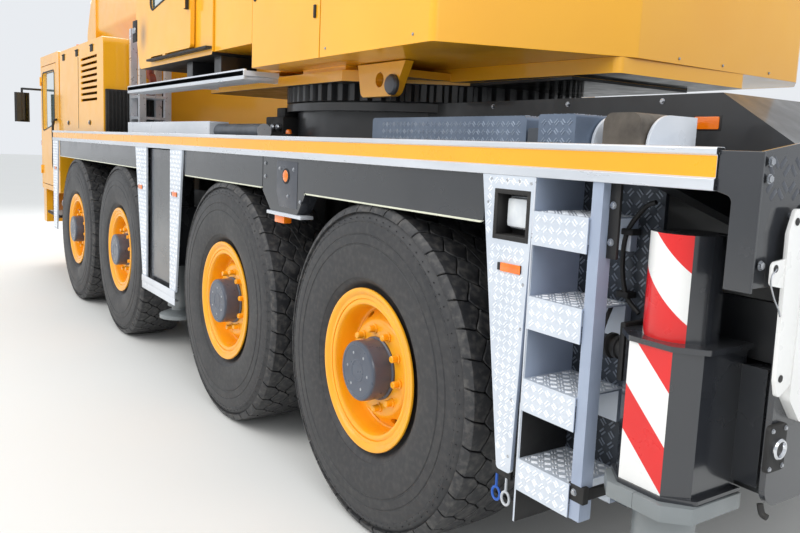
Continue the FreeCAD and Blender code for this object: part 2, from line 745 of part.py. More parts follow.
def jack_tower(x, jack_y):
    """Chamfered casing between two collars, with a round head above, bored for the leg."""
    c, h = jack_chamfer, jack_half
    casing = slab_z(cornered([(x - h, -h), (x + h, -h), (x + h, h - c), (x + h - c, h), (x - h + c, h),
                              (x - h, h - c)]), jack_bottom, jack_casing_top)
    wide = h + 18
    collars = []
    for z in (jack_casing_top, jack_bottom - 10):
        collars.append(slab_z([(x - wide, -h, 0), (x + wide, -h, 0), (x + wide, h - c, 20),
                               (x + h - c, h + 4, 20), (x - h + c, h + 4, 20), (x - wide, h - c, 20)],
                              z, z + collar_plate))
    head = upright(jack_head_radius, x, 0, jack_casing_top, jack_head_top)
    tower = joined(casing, *collars, head)
    tower.translate(Vector(0, jack_y, 0))
    return without(tower, upright(leg_radius + seat_gap, x, jack_y, jack_bottom - 40, leg_top + slide_gap))


def outrigger_cover(x, jack_y):
    """Plate over the jack, between the bright strips and below the rail, with a foot channel."""
    y0 = jack_y + jack_half - 1
    half = cover_half_length
    plate = box(x - half, x + half, y0, y0 + panel_plate, sheet_bottom + 20, rail_bottom - slide_gap)
    channel = box(x - half, x + half, y0 - 29, y0 + panel_plate, sheet_bottom - 95, sheet_bottom + 21)
    groove = box(x - half - 1, x + half + 1, y0 - 30, y0 + panel_plate - 8, sheet_bottom - 87,
                 sheet_bottom + 5)
    return joined(plate, without(channel, groove))


def outrigger_beam(x, jack_y, covered, side):
    """The left beams run in the rear half of their box, the right beams in the front half."""
    centre = x - side * (beam_width + beam_apart) / 2
    inner_end = -(jack_y - jack_half - jack_box_gap) + 15
    outer_end = jack_y - jack_half + 20
    y0, y1 = (inner_end, outer_end) if side > 0 else (-outer_end, -inner_end)
    beam = box(centre - beam_width / 2, centre + beam_width / 2, y0, y1, beam_bottom,
               beam_bottom + beam_height)
    tower = jack_tower(x, jack_y)
    if covered:
        tower = joined(tower, outrigger_cover(x, jack_y))
    return joined(beam, on_side(tower, side))


def outrigger_leg(x, jack_y, side):
    leg = upright(leg_radius, x, jack_y, leg_bottom + 40, leg_top)
    knob = upright(60, x, jack_y, leg_bottom, leg_bottom + 60)
    foot = turned(cornered([(0, 0), (0, foot_radius), (28, foot_radius), (60, 70), (60, 0)]), 0, 0, 1)
    foot.rotate(Vector(0, 0, 0), Vector(1, 0, 0), 90)
    foot.translate(Vector(x, jack_y, leg_bottom - foot_drop))
    return on_side(joined(leg, knob, foot), side)


# Engine housing, road cab

def engine_housing():
    """Hood behind the road cab: open below, with louvres in both sides."""
    w, p = cab_half_width, hood_plate
    base = deck_top + seat_gap
    outer = slab_y([(hood_rear_x, base, 0), (hood_front_x, base, 0), (hood_front_x, hood_top, 40),
                    (hood_rear_x, hood_top, 70)], -w, w)
    inner = slab_y([(hood_rear_x + p, base - 1, 0), (hood_front_x - p, base - 1, 0),
                    (hood_front_x - p, hood_top - p, 20), (hood_rear_x + p, hood_top - p, 50)],
                   -w + p, w - p)
    louvres = []
    for number in range(louvre_count):
        z = deck_top + 330 + louvre_pitch * number
        louvres.append(box(hood_rear_x + 250, hood_rear_x + 950, -w - 1, w + 1, z, z + louvre_height))
    return without(outer, inner, *louvres)


def engine():
    """Engine and gearbox as one plain block between the frame's side members."""
    x0, x1 = hood_rear_x + 250, hood_front_x - 340
    low, shoulder, high = frame_bottom + 180, deck_top + 150, deck_top + 500
    return slab_y([(x0, low, 30), (x1, low, 30), (x1, shoulder, 60), (x1 - 650, high, 80),
                   (x0 + 150, high, 80), (x0, shoulder, 60)], -engine_half_width, engine_half_width)


def cab_profile(shrink):
    s = shrink
    return [(cab_rear_x + s, cab_floor + s, 30), (cab_front_x - s, cab_floor + s, 60),
            (cab_front_x - s, cab_waist, 30), (cab_front_x - 320 - s * 0.6, cab_roof - s, 110),
            (cab_rear_x + s, cab_roof - s, 60)]


def cab_plan(front, half, corner, corner_y, corner_round, nose_round):
    """Curved front of the cab seen from above."""
    low, high = cab_floor - 120, cab_roof + 100
    return slab_z([(cab_rear_x - 5, -half, 0), (corner, -half, corner_round),
                   (front, -corner_y, nose_round), (front, corner_y, nose_round),
                   (corner, half, corner_round), (cab_rear_x - 5, half, 0)], low, high)


def screen_hole(shrink):
    return slab_x(rounded(screen_width - shrink, screen_height - shrink, 90, 0, screen_z),
                  cab_front_x - 450, cab_front_x + 250)


def cab_mirror():
    """Mirror head on its bent arm, left side."""
    x, y = cab_front_x - 250, cab_half_width + 200
    z = cab_floor + 1040
    head = slab_z(rounded(50, 180, 20, x + 5, y), z - 190, z + 190)
    arm = bar(14, (x, cab_half_width - 240, z + 240), (x, y, z + 240))
    return joined(head, arm, bar(14, (x, y, z + 250), (x, y, z + 140)))


def cab_step():
    """Entry step on its hangers, left side."""
    x0, x1, y1 = cab_rear_x + 250, cab_rear_x + 1000, cab_half_width - 30
    low = cab_floor - 320
    hangers = [box(x, x + 40, y1 - 300, y1 - 260, low, cab_floor + 10) for x in (x0, x1 - 40)]
    return joined(box(x0, x1, y1 - 300, y1, low, low + 30), *hangers)


def road_cab():
    """Hollow cab with door openings, windows, mirrors, beacons and steps. Its front is curved."""
    w, t = cab_half_width, cab_wall
    outer = slab_y(cab_profile(0), -w, w).common(
        cab_plan(cab_front_x, w, cab_front_x - 400, 950, 160, 250))
    inner = slab_y(cab_profile(t), -w + 1, w - 1).common(
        cab_plan(cab_front_x - t, w - t, cab_front_x - 430, 930, 120, 210))
    openings = [box(cab_door_rear_x, cab_door_front_x, -w - 1, w + 1, cab_door_bottom, cab_door_top),
                screen_hole(0),
                slab_x(rounded(1300, 480, 60, 0, cab_roof - 400), cab_rear_x - 10, cab_rear_x + t + 10)]
    beacon_x, beacon_y = cab_rear_x + 270, 950
    beacon = joined(upright(55, beacon_x, beacon_y, cab_roof - 20, cab_roof + 30),
                    upright(42, beacon_x, beacon_y, cab_roof + 20, cab_roof + 120))
    mount = box(cab_rear_x + 350, cab_rear_x + 550, 330, 440, frame_bottom + seat_gap, cab_floor + 10)
    hinges = []
    for z in CAB_HINGE_Z:
        for leaf in hinge_leaf(z - 40, z - seat_gap, 1):
            hinges += both(leaf)
    return joined(without(outer, inner, *openings), *both(cab_mirror()), *both(beacon),
                  *both(cab_step()), *both(mount), *hinges)


def hinge_leaf(z0, z1, along):
    """Barrel of the left door's hinge and its leaf, which runs forward or back from it."""
    x, y = cab_door_front_x - slide_gap / 2, cab_half_width + cab_hinge_out
    ends = sorted((x, x + along * 64))
    return [upright(cab_hinge_radius, x, y, z0, z1),
            box(ends[0], ends[1], cab_half_width - 1, cab_half_width + 8, z0, z1)]


def cab_door(side):
    """Whole door with its window hole, as thick as the wall."""
    w, t, g = cab_half_width, cab_wall, slide_gap
    x0, x1 = cab_door_rear_x + g, cab_door_front_x - g
    z0, z1 = cab_door_bottom + g, cab_door_top - g
    panel = slab_y(cornered([(x0, z0), (x1, z0), (x1, z1), (x0, z1)], 20), w - t + g, w)
    window = slab_y(cornered([(x0 + 90, cab_waist + 90), (x1 - 90, cab_waist), (x1 - 90, z1 - 80),
                              (x0 + 90, z1 - 80)], 60), w - t, w + 1)
    handle = box(x0 + 60, x0 + 200, w - 1, w + 22, cab_waist - 80, cab_waist - 50)
    hinges = []
    for z in CAB_HINGE_Z:
        hinges += hinge_leaf(z, z + cab_hinge_height, -1)
    return on_side(joined(without(panel, window), handle, *hinges), side)


def cab_panes():
    """Windscreen and rear window, seated in their holes."""
    w = cab_half_width - cab_wall
    outside = slab_y(cab_profile(cab_glass_inset), -w, w)
    inside = slab_y(cab_profile(cab_glass_inset + cab_glass), -w - 1, w + 1)
    screen = without(outside, inside).common(screen_hole(2 * pane_gap))
    rear = slab_x(rounded(1300 - 2 * pane_gap, 480 - 2 * pane_gap, 60, 0, cab_roof - 400),
                  cab_rear_x + 20, cab_rear_x + 26)
    return [screen, rear]


def cab_seat(y, floor):
    x = cab_rear_x + 330
    base = box(x, x + 380, y - 190, y + 190, floor, floor + 260)
    shell = slab_y([(x - 60, floor + 250, 30), (x + 470, floor + 250, 60), (x + 470, floor + 380, 60),
                    (x + 80, floor + 370, 40), (x, floor + 1000, 60), (x - 140, floor + 1000, 60)],
                   y - 240, y + 240)
    return joined(base, shell)


def cab_interior():
    """Two seats on their boxes, and the dashboard with its column and steering wheel."""
    floor = cab_floor + cab_wall + seat_gap
    seat_y = 720.0
    x = cab_front_x - 150
    dash = slab_y([(x - 270, floor + 400, 40), (x, floor + 300, 40), (x, floor + 620, 60),
                   (x - 220, floor + 620, 60)], -1000, 1000)
    console = box(x - 150, x, -900, 900, floor, floor + 420)
    wheel_x, wheel_z = x - 420, floor + 700
    column = bar(40, (x - 180, seat_y, floor + 500), (wheel_x, seat_y, wheel_z))
    wheel = Part.makeTorus(210, 18, Vector(wheel_x, seat_y, wheel_z), Vector(-0.77, 0, 0.64))
    spoke = cross_bar(16, wheel_x, wheel_z, seat_y - 200, seat_y + 200)
    return [cab_seat(seat_y, floor), cab_seat(-seat_y, floor), joined(dash, console, column, wheel, spoke)]


# Superstructure

def ring_gear(z0, z1):
    """Slewing ring whose teeth have flat tips and sloping flanks."""
    root = ring_radius - tooth_depth
    pitch = 2 * math.pi / ring_teeth
    corners = []
    for number in range(ring_teeth):
        for share, radius in ((-0.36, root), (-0.18, ring_radius), (0.18, ring_radius), (0.36, root)):
            angle = (number + share) * pitch
            corners.append((slew_x + radius * math.cos(angle), radius * math.sin(angle)))
    return slab_z(cornered(corners), z0, z1)


def base_plate():
    """Plate on the slewing ring, narrow below the tail, with the step and the arm of a bracket."""
    rear, front = tail_x + 290, upper_front_x
    plate = slab_z([(rear, -430, 0), (slew_x - 900, -430, 0), (slew_x - 500, -1000, 0),
                    (slew_x + 500, -1000, 0), (front, -500, 200), (front, 1000, 60),
                    (slew_x - 500, 1000, 0), (slew_x - 900, 430, 0), (rear, 430, 0)],
                   ring_top - 1, plate_top)
    ledge = slab_z([(tail_x + 20, -520, 40), (housing_seam_x, -620, 0), (housing_seam_x, 530, 0),
                    (tail_x + 20, 430, 40)], plate_top - 45, upper_bottom - seat_gap)
    x0, x1 = slew_x - 1030, slew_x - 580
    low, high = spine_top + seam_gap, upper_bottom - 5
    bracket = slab_y([(x0, high, 0), (x1, high, 0), (x1 - 40, low, 40), (x0 + 100, low, 60)], 900, 950)
    bracket = without(bracket, cross_bar(38, slew_x - 800, low + 85, 890, 960))
    arm = box(slew_x - 840, slew_x - 640, 420, 910, plate_top - 40, plate_top)
    step = box(slew_x + 160, slew_x + 2660, 1060, 1290, plate_top - 20, plate_top + 10)
    step_arms = [box(x, x + 60, 900, 1100, plate_top - 40, plate_top + 10)
                 for x in (slew_x + 300, slew_x + 1300)]
    return joined(plate, ledge, bracket, arm, step, *step_arms)


def boom_cheek():
    """Side plate that carries the boom's foot, with a window over the winch."""
    base = plate_top - 1
    y0, y1 = cheek_inner_y, cheek_inner_y + cheek_plate
    rear, front = tail_x + 290, upper_front_x - 40
    cheek = slab_y([(rear, base, 0), (front, base, 0), (front, plate_top + 120, 40),
                    (slew_x + 100, plate_top + 420, 200), (slew_x - 1220, boom_pivot_z + 130, 160),
                    (boom_pivot_x + 40, boom_pivot_z + 210, 120),
                    (boom_pivot_x - 190, boom_pivot_z + 150, 120), (rear, housing_top - 60, 100)], y0, y1)
    window = slab_y(cornered([(slew_x - 1280, plate_top + 190), (slew_x - 250, plate_top + 190),
                              (slew_x - 250, plate_top + 380), (slew_x - 1280, plate_top + 720)], 60),
                    y0 - 1, y1 + 1)
    return without(cheek, window)


def turntable():
    """Slewing ring, base plate, two cheeks that carry the boom, lugs of the cylinder and winch."""
    ring = ring_gear(pedestal_top + seat_gap, ring_top)
    base = plate_top - 1
    gap = cylinder_eye_width / 2 + slide_gap
    high = cylinder_base_z + 130
    lug = slab_y([(cylinder_base_x - 190, base, 0), (cylinder_base_x + 190, base, 0),
                  (cylinder_base_x + 130, high, 110), (cylinder_base_x - 130, high, 110)], gap, gap + 50)
    base_pin = cross_bar(cylinder_pin_radius, cylinder_base_x, cylinder_base_z, -gap - 42, gap + 42)
    beams = [box(slew_x + 500, upper_front_x - 20, 380, 1230, plate_top - 20, plate_top + 30),
             box(perch_rear_x + 20, perch_rear_x + 140, 430, 1180, plate_top, perch_bottom - seat_gap),
             box(perch_rear_x + 570, perch_rear_x + 690, 430, 1180, plate_top, perch_bottom - seat_gap)]
    winch_high = winch_z + 80
    winch_lugs = [slab_y([(winch_x - 150, base, 0), (winch_x + 150, base, 0),
                          (winch_x + 100, winch_high, 80), (winch_x - 100, winch_high, 80)], y, y + 30)
                  for y in (winch_half_width + 20, -winch_half_width - 50)]
    boom_hole = cross_bar(boom_pin_radius + seat_gap, boom_pivot_x, boom_pivot_z, -1000, 1000)
    winch_hole = cross_bar(winch_shaft_radius + seat_gap, winch_x, winch_z, -400, 400)
    frame = joined(ring, base_plate(), *both(boom_cheek()), *both(lug), *beams, *winch_lugs)
    return joined(without(frame, boom_hole, winch_hole), base_pin)


def winch_drum():
    w, flange, barrel, shaft = winch_half_width, 215.0, 150.0, winch_shaft_radius
    drum = turned([(-w, shaft, 0), (-w, flange, 6), (-w + 25, flange, 0), (-w + 25, barrel, 0),
                   (w - 25, barrel, 0), (w - 25, flange, 0), (w, flange, 6), (w, shaft, 0)],
                  winch_x, winch_z, 1)
    return joined(drum, cross_bar(shaft, winch_x, winch_z, -w - 50, w + 50))


def upper_housings():
    """Boxes over the slewing drive, hydraulics and tank, each side of the boom."""
    inner, outer = housing_inner_y, upper_half_width
    seam, rear_front = housing_seam_x + seam_gap, housing_front_x + seam_gap
    low_front, right_front = perch_rear_x - seam_gap, slew_x + 1700
    floor = plate_top + seat_gap
    left = slab_z([(seam, inner, 0), (housing_front_x, inner, 0), (housing_front_x, outer, 30),
                   (seam, outer, 0)], upper_bottom, housing_top)
    left_foot = box(slew_x - 500, slew_x, 600, 980, floor, upper_bottom + 10)
    middle = slab_z(cornered([(rear_front, inner), (low_front, inner), (low_front, outer - 12),
                              (rear_front, outer - 12)]), plate_top + 170, housing_top - 60)
    middle_foot = box(housing_front_x + 100, perch_rear_x - 150, 500, 1000, floor + 30, plate_top + 180)
    right = slab_z([(seam, -outer, 0), (right_front, -outer, 120), (right_front, -560, 120),
                    (seam, -inner, 0)], upper_bottom, housing_top)
    right_foot = box(slew_x - 400, slew_x + 400, -980, -600, floor, upper_bottom + 10)
    return [joined(left, left_foot), joined(middle, middle_foot), joined(right, right_foot)]


def counterweight():
    """Slabs round the tail in flat facets, low in the middle under the boom's foot."""
    w = upper_half_width
    block = slab_z([(housing_seam_x, -w, 0), (tail_corner_x - 105, -w, 60), (tail_x + 30, -1000, 60),
                    (tail_x, 334, 40), (tail_corner_x, w, 40), (housing_seam_x, w, 0)],
                   upper_bottom, housing_top)
    inner = housing_inner_y
    slot = box(tail_x + 280 - seat_gap, housing_seam_x + 1, -inner, inner, upper_bottom - 1, housing_top + 1)
    saddle = box(tail_x - 10, tail_x + 300, -inner, inner, upper_bottom + 395, housing_top + 1)
    return without(block, slot, saddle)


def perch_profile(s):
    return [(perch_rear_x + s, perch_bottom + s, 20), (perch_front_x - 120 - s, perch_bottom + s, 60),
            (perch_front_x - s, perch_bottom + 330, 60), (perch_front_x - 130 - s, perch_top - s, 100),
            (perch_rear_x + s, perch_top - s, 60)]


def perch_windows(shrink):
    """Holes for the front, knee, roof, rear and right panes, smaller all round by shrink."""
    s, t = shrink, perch_wall
    y0, y1, middle = perch_inner_y, upper_half_width, perch_middle_y
    x0, x1 = perch_rear_x + 320 + s, perch_rear_x + 1430 - s
    low, high = perch_bottom + 690 + s, perch_top - 160 - s
    right = cornered([(x0, low + 20), (x1, low - 80), (x1, high), (x0, high)], 60)
    return [slab_x(rounded(690 - 2 * s, 880 - 2 * s, 60, middle, perch_bottom + 820),
                   perch_front_x - 300, perch_front_x + 1),
            slab_x(rounded(600 - 2 * s, 150 - 2 * s, 30, middle, perch_bottom + 200),
                   perch_front_x - 250, perch_front_x + 1),
            box(perch_rear_x + 770 + s, perch_rear_x + 1420 - s, y0 + 110 + s, y1 - 110 - s,
                perch_top - 2 * t, perch_top + 1),
            slab_x(rounded(560 - 2 * s, 520 - 2 * s, 60, middle, perch_bottom + 1040),
                   perch_rear_x - 1, perch_rear_x + t + 1),
            slab_y(right, y0 - 1, y0 + t + 1)]


def crane_cab():
    """Hollow operator's cab with a door opening on its left, large windows and the door's rails."""
    y0, y1, t = perch_inner_y, upper_half_width, perch_wall
    outer = slab_y(perch_profile(0), y0, y1)
    inner = slab_y(perch_profile(t), y0 + t, y1 - t)
    door = box(perch_door_rear_x + 30, perch_door_front_x - 30, y1 - t - 1, y1 + 1,
               perch_door_bottom + 40, perch_door_top - 30)
    rails = [box(perch_rear_x + 10, perch_door_front_x + 30, y1 - 1, y1 + 42, z, z + perch_rail)
             for z in (perch_door_top + perch_rail_gap, perch_door_bottom - perch_rail_gap - perch_rail)]
    return joined(without(outer, inner, door, *perch_windows(0)), *rails)


def crane_cab_door():
    """Sliding door that runs back along two rails outside the wall."""
    y0, y1 = perch_door_y, perch_door_y + perch_door_plate
    z0, z1 = perch_door_bottom, perch_door_top
    x0, x1 = perch_door_rear_x, perch_door_front_x
    panel = slab_y([(x0, z0, 30), (x1, z0, 30), (x1, z1, 50), (x0, z1, 50)], y0, y1)
    sill = perch_bottom + 410
    window = slab_y(cornered([(x0 + 80, sill + 120), (x1 - 70, sill), (x1 - 70, z1 - 70),
                              (x0 + 80, z1 - 70)], 60), y0 - 1, y1 + 1)
    handle = box(x0 + 30, x0 + 60, y1 - 1, y1 + 30, sill - 80, sill + 60)
    runners = []
    for x in (perch_rear_x + 70 + perch_door_travel, x1 - 80):
        runners.append(box(x, x + 60, y0, y1, z1 - 1, z1 + perch_rail_gap - seat_gap))
        runners.append(box(x, x + 60, y0, y1, z0 - perch_rail_gap + seat_gap, z0 + 1))
    return joined(without(panel, window), handle, *runners)


def crane_cab_glass():
    """Panes in the holes of the cab's wall, set in from its outside."""
    y0, y1, t = perch_inner_y, upper_half_width, perch_wall
    inset, pane = 16.0, 6.0
    skin = without(slab_y(perch_profile(inset), y0 + t, y1 - t), slab_y(perch_profile(inset + pane), y0, y1))
    *holes, right_hole = perch_windows(pane_gap)
    right = right_hole.common(box(perch_rear_x, perch_front_x, y0 + 10, y0 + 10 + pane, perch_bottom,
                                  perch_top))
    return [skin.common(hole) for hole in holes] + [right]


def crane_cab_seat():
    """Operator's seat with arm rests on its box."""
    y = perch_middle_y
    x = perch_rear_x + 380
    floor = perch_bottom + perch_wall + seat_gap
    base = box(x, x + 400, y - 180, y + 180, floor, floor + 280)
    shell = slab_y([(x - 80, floor + 270, 40), (x + 470, floor + 270, 60), (x + 470, floor + 400, 60),
                    (x + 80, floor + 390, 40), (x, floor + 1080, 60), (x - 130, floor + 1080, 60)],
                   y - 230, y + 230)
    rests = []
    for inner in (-300, 230):
        y0, y1 = y + inner, y + inner + 70
        rests.append(box(x + 80, x + 420, y0, y1, floor + 500, floor + 560))
        rests.append(box(x + 80, x + 140, y0, y1, floor + 300, floor + 505))
    carrier = box(x + 40, x + 160, y - 300, y + 300, floor + 290, floor + 330)
    return joined(base, shell, *rests, carrier)


# Boom

def inset_of(level):
    """How far a section lies inside the base section all round; level 0 is the base."""
    return level * (boom_wall + nest_gap)


def boom_section(inset):
    """Corners (y, z, round) of the section with its narrow keel, drawn in all round by inset."""
    w = boom_width / 2 - inset
    keel = w * boom_keel_share
    top, low, knee = boom_top - inset, boom_bottom + inset, boom_bottom + boom_keel
    return [(-w, top, 40), (w, top, 40), (w, knee, 120), (keel, low, 120), (-keel, low, 120),
            (-w, knee, 120)]


def boom_collar(level, x0, x1, rim):
    """Ring round the front end of a section."""
    inset = inset_of(level)
    return slab_x(rounded(boom_width - 2 * inset + 2 * rim, boom_height - 2 * inset + 2 * rim, 90, 0,
                          (boom_bottom + boom_top) / 2), x0, x1)


def boom_base():
    """Base section: closed heel with its pin, collar in front, lugs for the luffing cylinder."""
    x0, x1 = boom_rear_x, boom_front_x
    tube = slab_x(boom_section(0), x0, x1)
    hollow = slab_x(boom_section(boom_wall), x0 + boom_heel, x1 + 1)
    ring = boom_collar(0, x1 - 200, x1, collar_rim)
    wide = boom_width / 2 + 50
    low_cut = slab_y(cornered([(x0 - 1, boom_bottom - 1), (x0 + 200, boom_bottom - 1),
                               (x0 - 1, boom_bottom + 200)]), -wide, wide)
    top_cut = slab_y(cornered([(x0 - 1, boom_top + 1), (x0 - 1, boom_top - 200),
                               (x0 + 260, boom_top + 1)]), -wide, wide)
    pin_end = cheek_inner_y + cheek_plate + 15
    pin = cross_bar(boom_pin_radius, boom_pivot_x, boom_pivot_z, -pin_end, pin_end)
    gap = cylinder_eye_width / 2 + slide_gap
    eye_x, eye_z = cylinder_eye_x, cylinder_eye_z
    lug = slab_y([(eye_x - 150, boom_bottom + 30, 0), (eye_x + 420, boom_bottom + 30, 0),
                  (eye_x + 130, eye_z - 120, 100), (eye_x - 130, eye_z - 120, 100)], gap, gap + 46)
    boss = cross_bar(105, eye_x, eye_z, gap, gap + 90)
    shell = without(joined(tube, ring, *both(lug), *both(boss)), hollow, low_cut, top_cut)
    return joined(shell, pin, mouth_pad(0))


def mouth_pad(level):
    """Wear pad in the mouth of a section, under the one that slides in it."""
    x1 = boom_front_x + collar_reach * level
    floor = boom_bottom + inset_of(level) + boom_wall
    return box(x1 - pad_length, x1, -keel_pad_half, keel_pad_half, floor - 1, floor + nest_gap - seat_gap)


def tail_pads(level):
    """Wear pads above and below a section's rear end, which run in the section round it."""
    x0 = boom_rear_x + boom_heel + slide_step * level
    top, low = boom_top - inset_of(level), boom_bottom + inset_of(level)
    reach = nest_gap - seat_gap
    return [box(x0, x0 + pad_length, -top_pad_half, top_pad_half, top - 1, top + reach),
            box(x0, x0 + pad_length, -keel_pad_half, keel_pad_half, low - reach, low + 1)]


def slide_tube(level):
    """Telescopic section with the collar that stands out in front, and the space inside it."""
    x0 = boom_rear_x + boom_heel + slide_step * level
    x1 = boom_front_x + collar_reach * level
    inset = inset_of(level)
    tube = slab_x(boom_section(inset), x0, x1)
    ring = boom_collar(level, x1 - collar_reach + slide_gap, x1, boom_wall)
    hollow = slab_x(boom_section(inset + boom_wall), x0 - 1, x1 + 1)
    return joined(without(joined(tube, ring), hollow), *tail_pads(level)), x1


def boom_slide(level):
    return joined(slide_tube(level)[0], mouth_pad(level))


def head_sheave(x, z, radius, y):
    """Grooved rope sheave on its pin."""
    half, rim = 25.0, 12.0
    return turned(cornered([(y - half, 40), (y - half, radius), (y - rim, radius), (y, radius - 24),
                            (y + rim, radius), (y + half, radius), (y + half, 40)]), x, z, 1)


def boom_tip():
    """Last section with the head: cheeks, two rows of sheaves on pins, and eyes for a jib."""
    level = 3
    tube, x1 = slide_tube(level)
    half = boom_width / 2 - inset_of(level)
    high = boom_top - inset_of(level)
    cap = slab_x(boom_section(inset_of(level)), x1 - 40, x1)
    cheek = slab_y([(x1 - 20, high - 60, 30), (x1 - 20, boom_bottom + 120, 0),
                    (x1 + 240, boom_bottom - 120, 130), (head_tip_x, boom_bottom - 40, 160),
                    (head_tip_x, boom_bottom + 320, 120), (x1 + 330, high - 60, 80)],
                   head_cheek_outer - head_plate, head_cheek_outer)
    sheaves = []
    for x, z, radius in ((head_tip_x - 230, boom_bottom + 60, 205), (x1 + 210, high - 200, 150)):
        sheaves.append(cross_bar(45, x, z, -half + 50, half - 50))
        for y in (-150, -50, 50, 150):
            sheaves.append(head_sheave(x, z, radius, y))
    jib_holes = [cross_bar(jib_pin_radius, x1 + jib_pin_reach, z, -half, half) for z in JIB_PIN_Z]
    return without(joined(tube, cap, *both(cheek), *sheaves), *jib_holes)


# Luffing cylinder, drawn level and turned to its angle at rest

cylinder_length = math.hypot(cylinder_eye_x - cylinder_base_x, cylinder_eye_z - cylinder_base_z)
cylinder_angle = math.degrees(math.atan2(cylinder_eye_z - cylinder_base_z,
                                         cylinder_eye_x - cylinder_base_x))


def laid(shape):
    """Turn a piece drawn along +X from the base pin to the cylinder's own angle."""
    shape.rotate(Vector(0, 0, 0), Vector(0, 1, 0), -cylinder_angle)
    shape.translate(Vector(cylinder_base_x, 0, cylinder_base_z))
    return shape


def luff_barrel():
    half = cylinder_eye_width / 2
    end = cylinder_length - cylinder_eye_radius - 90
    eye = cross_bar(cylinder_eye_radius, 0, 0, -half, half)
    neck = box(0, 220, -half, half, -120, 120)
    tube = bar(cylinder_radius, (160, 0, 0), (end, 0, 0))
    gland = bar(cylinder_radius + 14, (end - 120, 0, 0), (end, 0, 0))
    hollow = bar(cylinder_rod_radius + seat_gap, (300, 0, 0), (end + 1, 0, 0))
    pin_hole = cross_bar(cylinder_pin_radius + seat_gap, 0, 0, -half - 1, half + 1)
    return laid(without(joined(eye, neck, tube, gland), hollow, pin_hole))


def luff_rod():
    half = cylinder_eye_width / 2
    rod = bar(cylinder_rod_radius, (330, 0, 0), (cylinder_length - 60, 0, 0))
    return laid(joined(rod, cross_bar(cylinder_eye_radius, cylinder_length, 0, -half, half)))


# Write every node

os.makedirs("parts", exist_ok=True)

save("chassis_frame", chassis_frame())
save("front_bumper", front_bumper())
save("deck", deck())
save("dark_panels", *dark_panels())
save("side_panels", *side_panels())
save("deck_gear", *deck_boxes(), hook_stand(), tail_frame(1), tail_frame(-1))
save("hook_block", hook_block())
save("engine_housing", engine_housing())
save("drivetrain", *[axle(x, bulge) for _, x, bulge in AXLES], engine())
save("road_cab", road_cab())
save("road_cab_glass", *cab_panes())
save("road_cab_interior", *cab_interior())
save("turntable", turntable())
save("winch_drum", winch_drum())
save("upper_housings", *upper_housings())
save("counterweight", counterweight())
save("crane_cab", crane_cab())
save("crane_cab_glass", *crane_cab_glass())
save("crane_cab_seat", crane_cab_seat())
save("crane_cab_door", crane_cab_door())
save("boom_base", boom_base())
save("boom_slide_1", boom_slide(1))
save("boom_slide_2", boom_slide(2))
save("boom_slide_3", boom_tip())
save("luff_barrel", luff_barrel())
save("luff_rod", luff_rod())

for side_name, side in SIDES:
    save(f"road_cab_door_{side_name}", cab_door(side))
    for number, x, _ in AXLES:
        save(f"tyre_{number}_{side_name}", tyre(x, side))
        save(f"rim_{number}_{side_name}", rim(x, side))
        save(f"knuckle_{number}_{side_name}", knuckle(x, side))
    for place, x, jack_y, covered in OUTRIGGERS:
        save(f"outrigger_beam_{place}_{side_name}", outrigger_beam(x, jack_y, covered, side))
        save(f"outrigger_leg_{place}_{side_name}", outrigger_leg(x, jack_y, side))
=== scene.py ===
import json
import random
from math import atan2, cos, exp, pi, radians, sin, tan

import bmesh
import bpy
from mathutils import Matrix, Vector

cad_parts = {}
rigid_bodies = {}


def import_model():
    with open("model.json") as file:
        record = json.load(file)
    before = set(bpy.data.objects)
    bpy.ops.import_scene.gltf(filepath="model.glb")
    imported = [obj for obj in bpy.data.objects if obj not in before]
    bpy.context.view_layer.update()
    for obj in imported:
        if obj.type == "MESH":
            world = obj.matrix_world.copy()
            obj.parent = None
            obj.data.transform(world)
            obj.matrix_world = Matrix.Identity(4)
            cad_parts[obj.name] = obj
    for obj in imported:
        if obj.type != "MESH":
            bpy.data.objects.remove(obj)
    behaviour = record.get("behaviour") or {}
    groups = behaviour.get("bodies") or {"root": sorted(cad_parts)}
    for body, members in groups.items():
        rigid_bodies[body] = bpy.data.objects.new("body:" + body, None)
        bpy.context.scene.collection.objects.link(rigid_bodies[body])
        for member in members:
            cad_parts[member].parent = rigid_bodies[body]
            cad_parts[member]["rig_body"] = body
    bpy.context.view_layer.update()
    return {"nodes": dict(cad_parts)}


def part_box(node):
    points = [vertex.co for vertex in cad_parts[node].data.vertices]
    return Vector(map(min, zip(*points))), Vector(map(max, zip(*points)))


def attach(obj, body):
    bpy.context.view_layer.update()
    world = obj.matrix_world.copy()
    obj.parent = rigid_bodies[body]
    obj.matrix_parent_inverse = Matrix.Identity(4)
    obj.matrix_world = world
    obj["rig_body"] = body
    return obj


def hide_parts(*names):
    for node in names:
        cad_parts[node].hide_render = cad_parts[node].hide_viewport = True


# A four-axle mobile crane, seen from behind on its left.
# Metres. X points forward, Y to the left, Z up. The floor is at z = 0.
# at(x) turns an x counted from the rearmost axle into the frame's own x.

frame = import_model()
chance = random.Random(4)

SIDES = (("left", 1), ("right", -1))
AXLES = ("1", "2", "3", "4")


def middle(node):
    low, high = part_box(node)
    return (low + high) / 2


rear_axle_x = middle("tyre_4_left").x
wheel_y = middle("rim_4_left").y
tyre_low, tyre_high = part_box("tyre_4_left")
axle_z = (tyre_low.z + tyre_high.z) / 2
tyre_radius = (tyre_high.z - tyre_low.z) / 2
tyre_y = (tyre_high.y + tyre_low.y) / 2


def at(x):
    return rear_axle_x + x


def srgb(*shown):
    """Colour from the 0 to 255 values that a screen shows."""
    def linear(value):
        share = value / 255
        return share / 12.92 if share <= 0.04045 else ((share + 0.055) / 1.055) ** 2.4
    return (*map(linear, shown), 1.0)


def darker(colour, share):
    return tuple(value * share for value in colour[:3]) + (1.0,)


# Materials

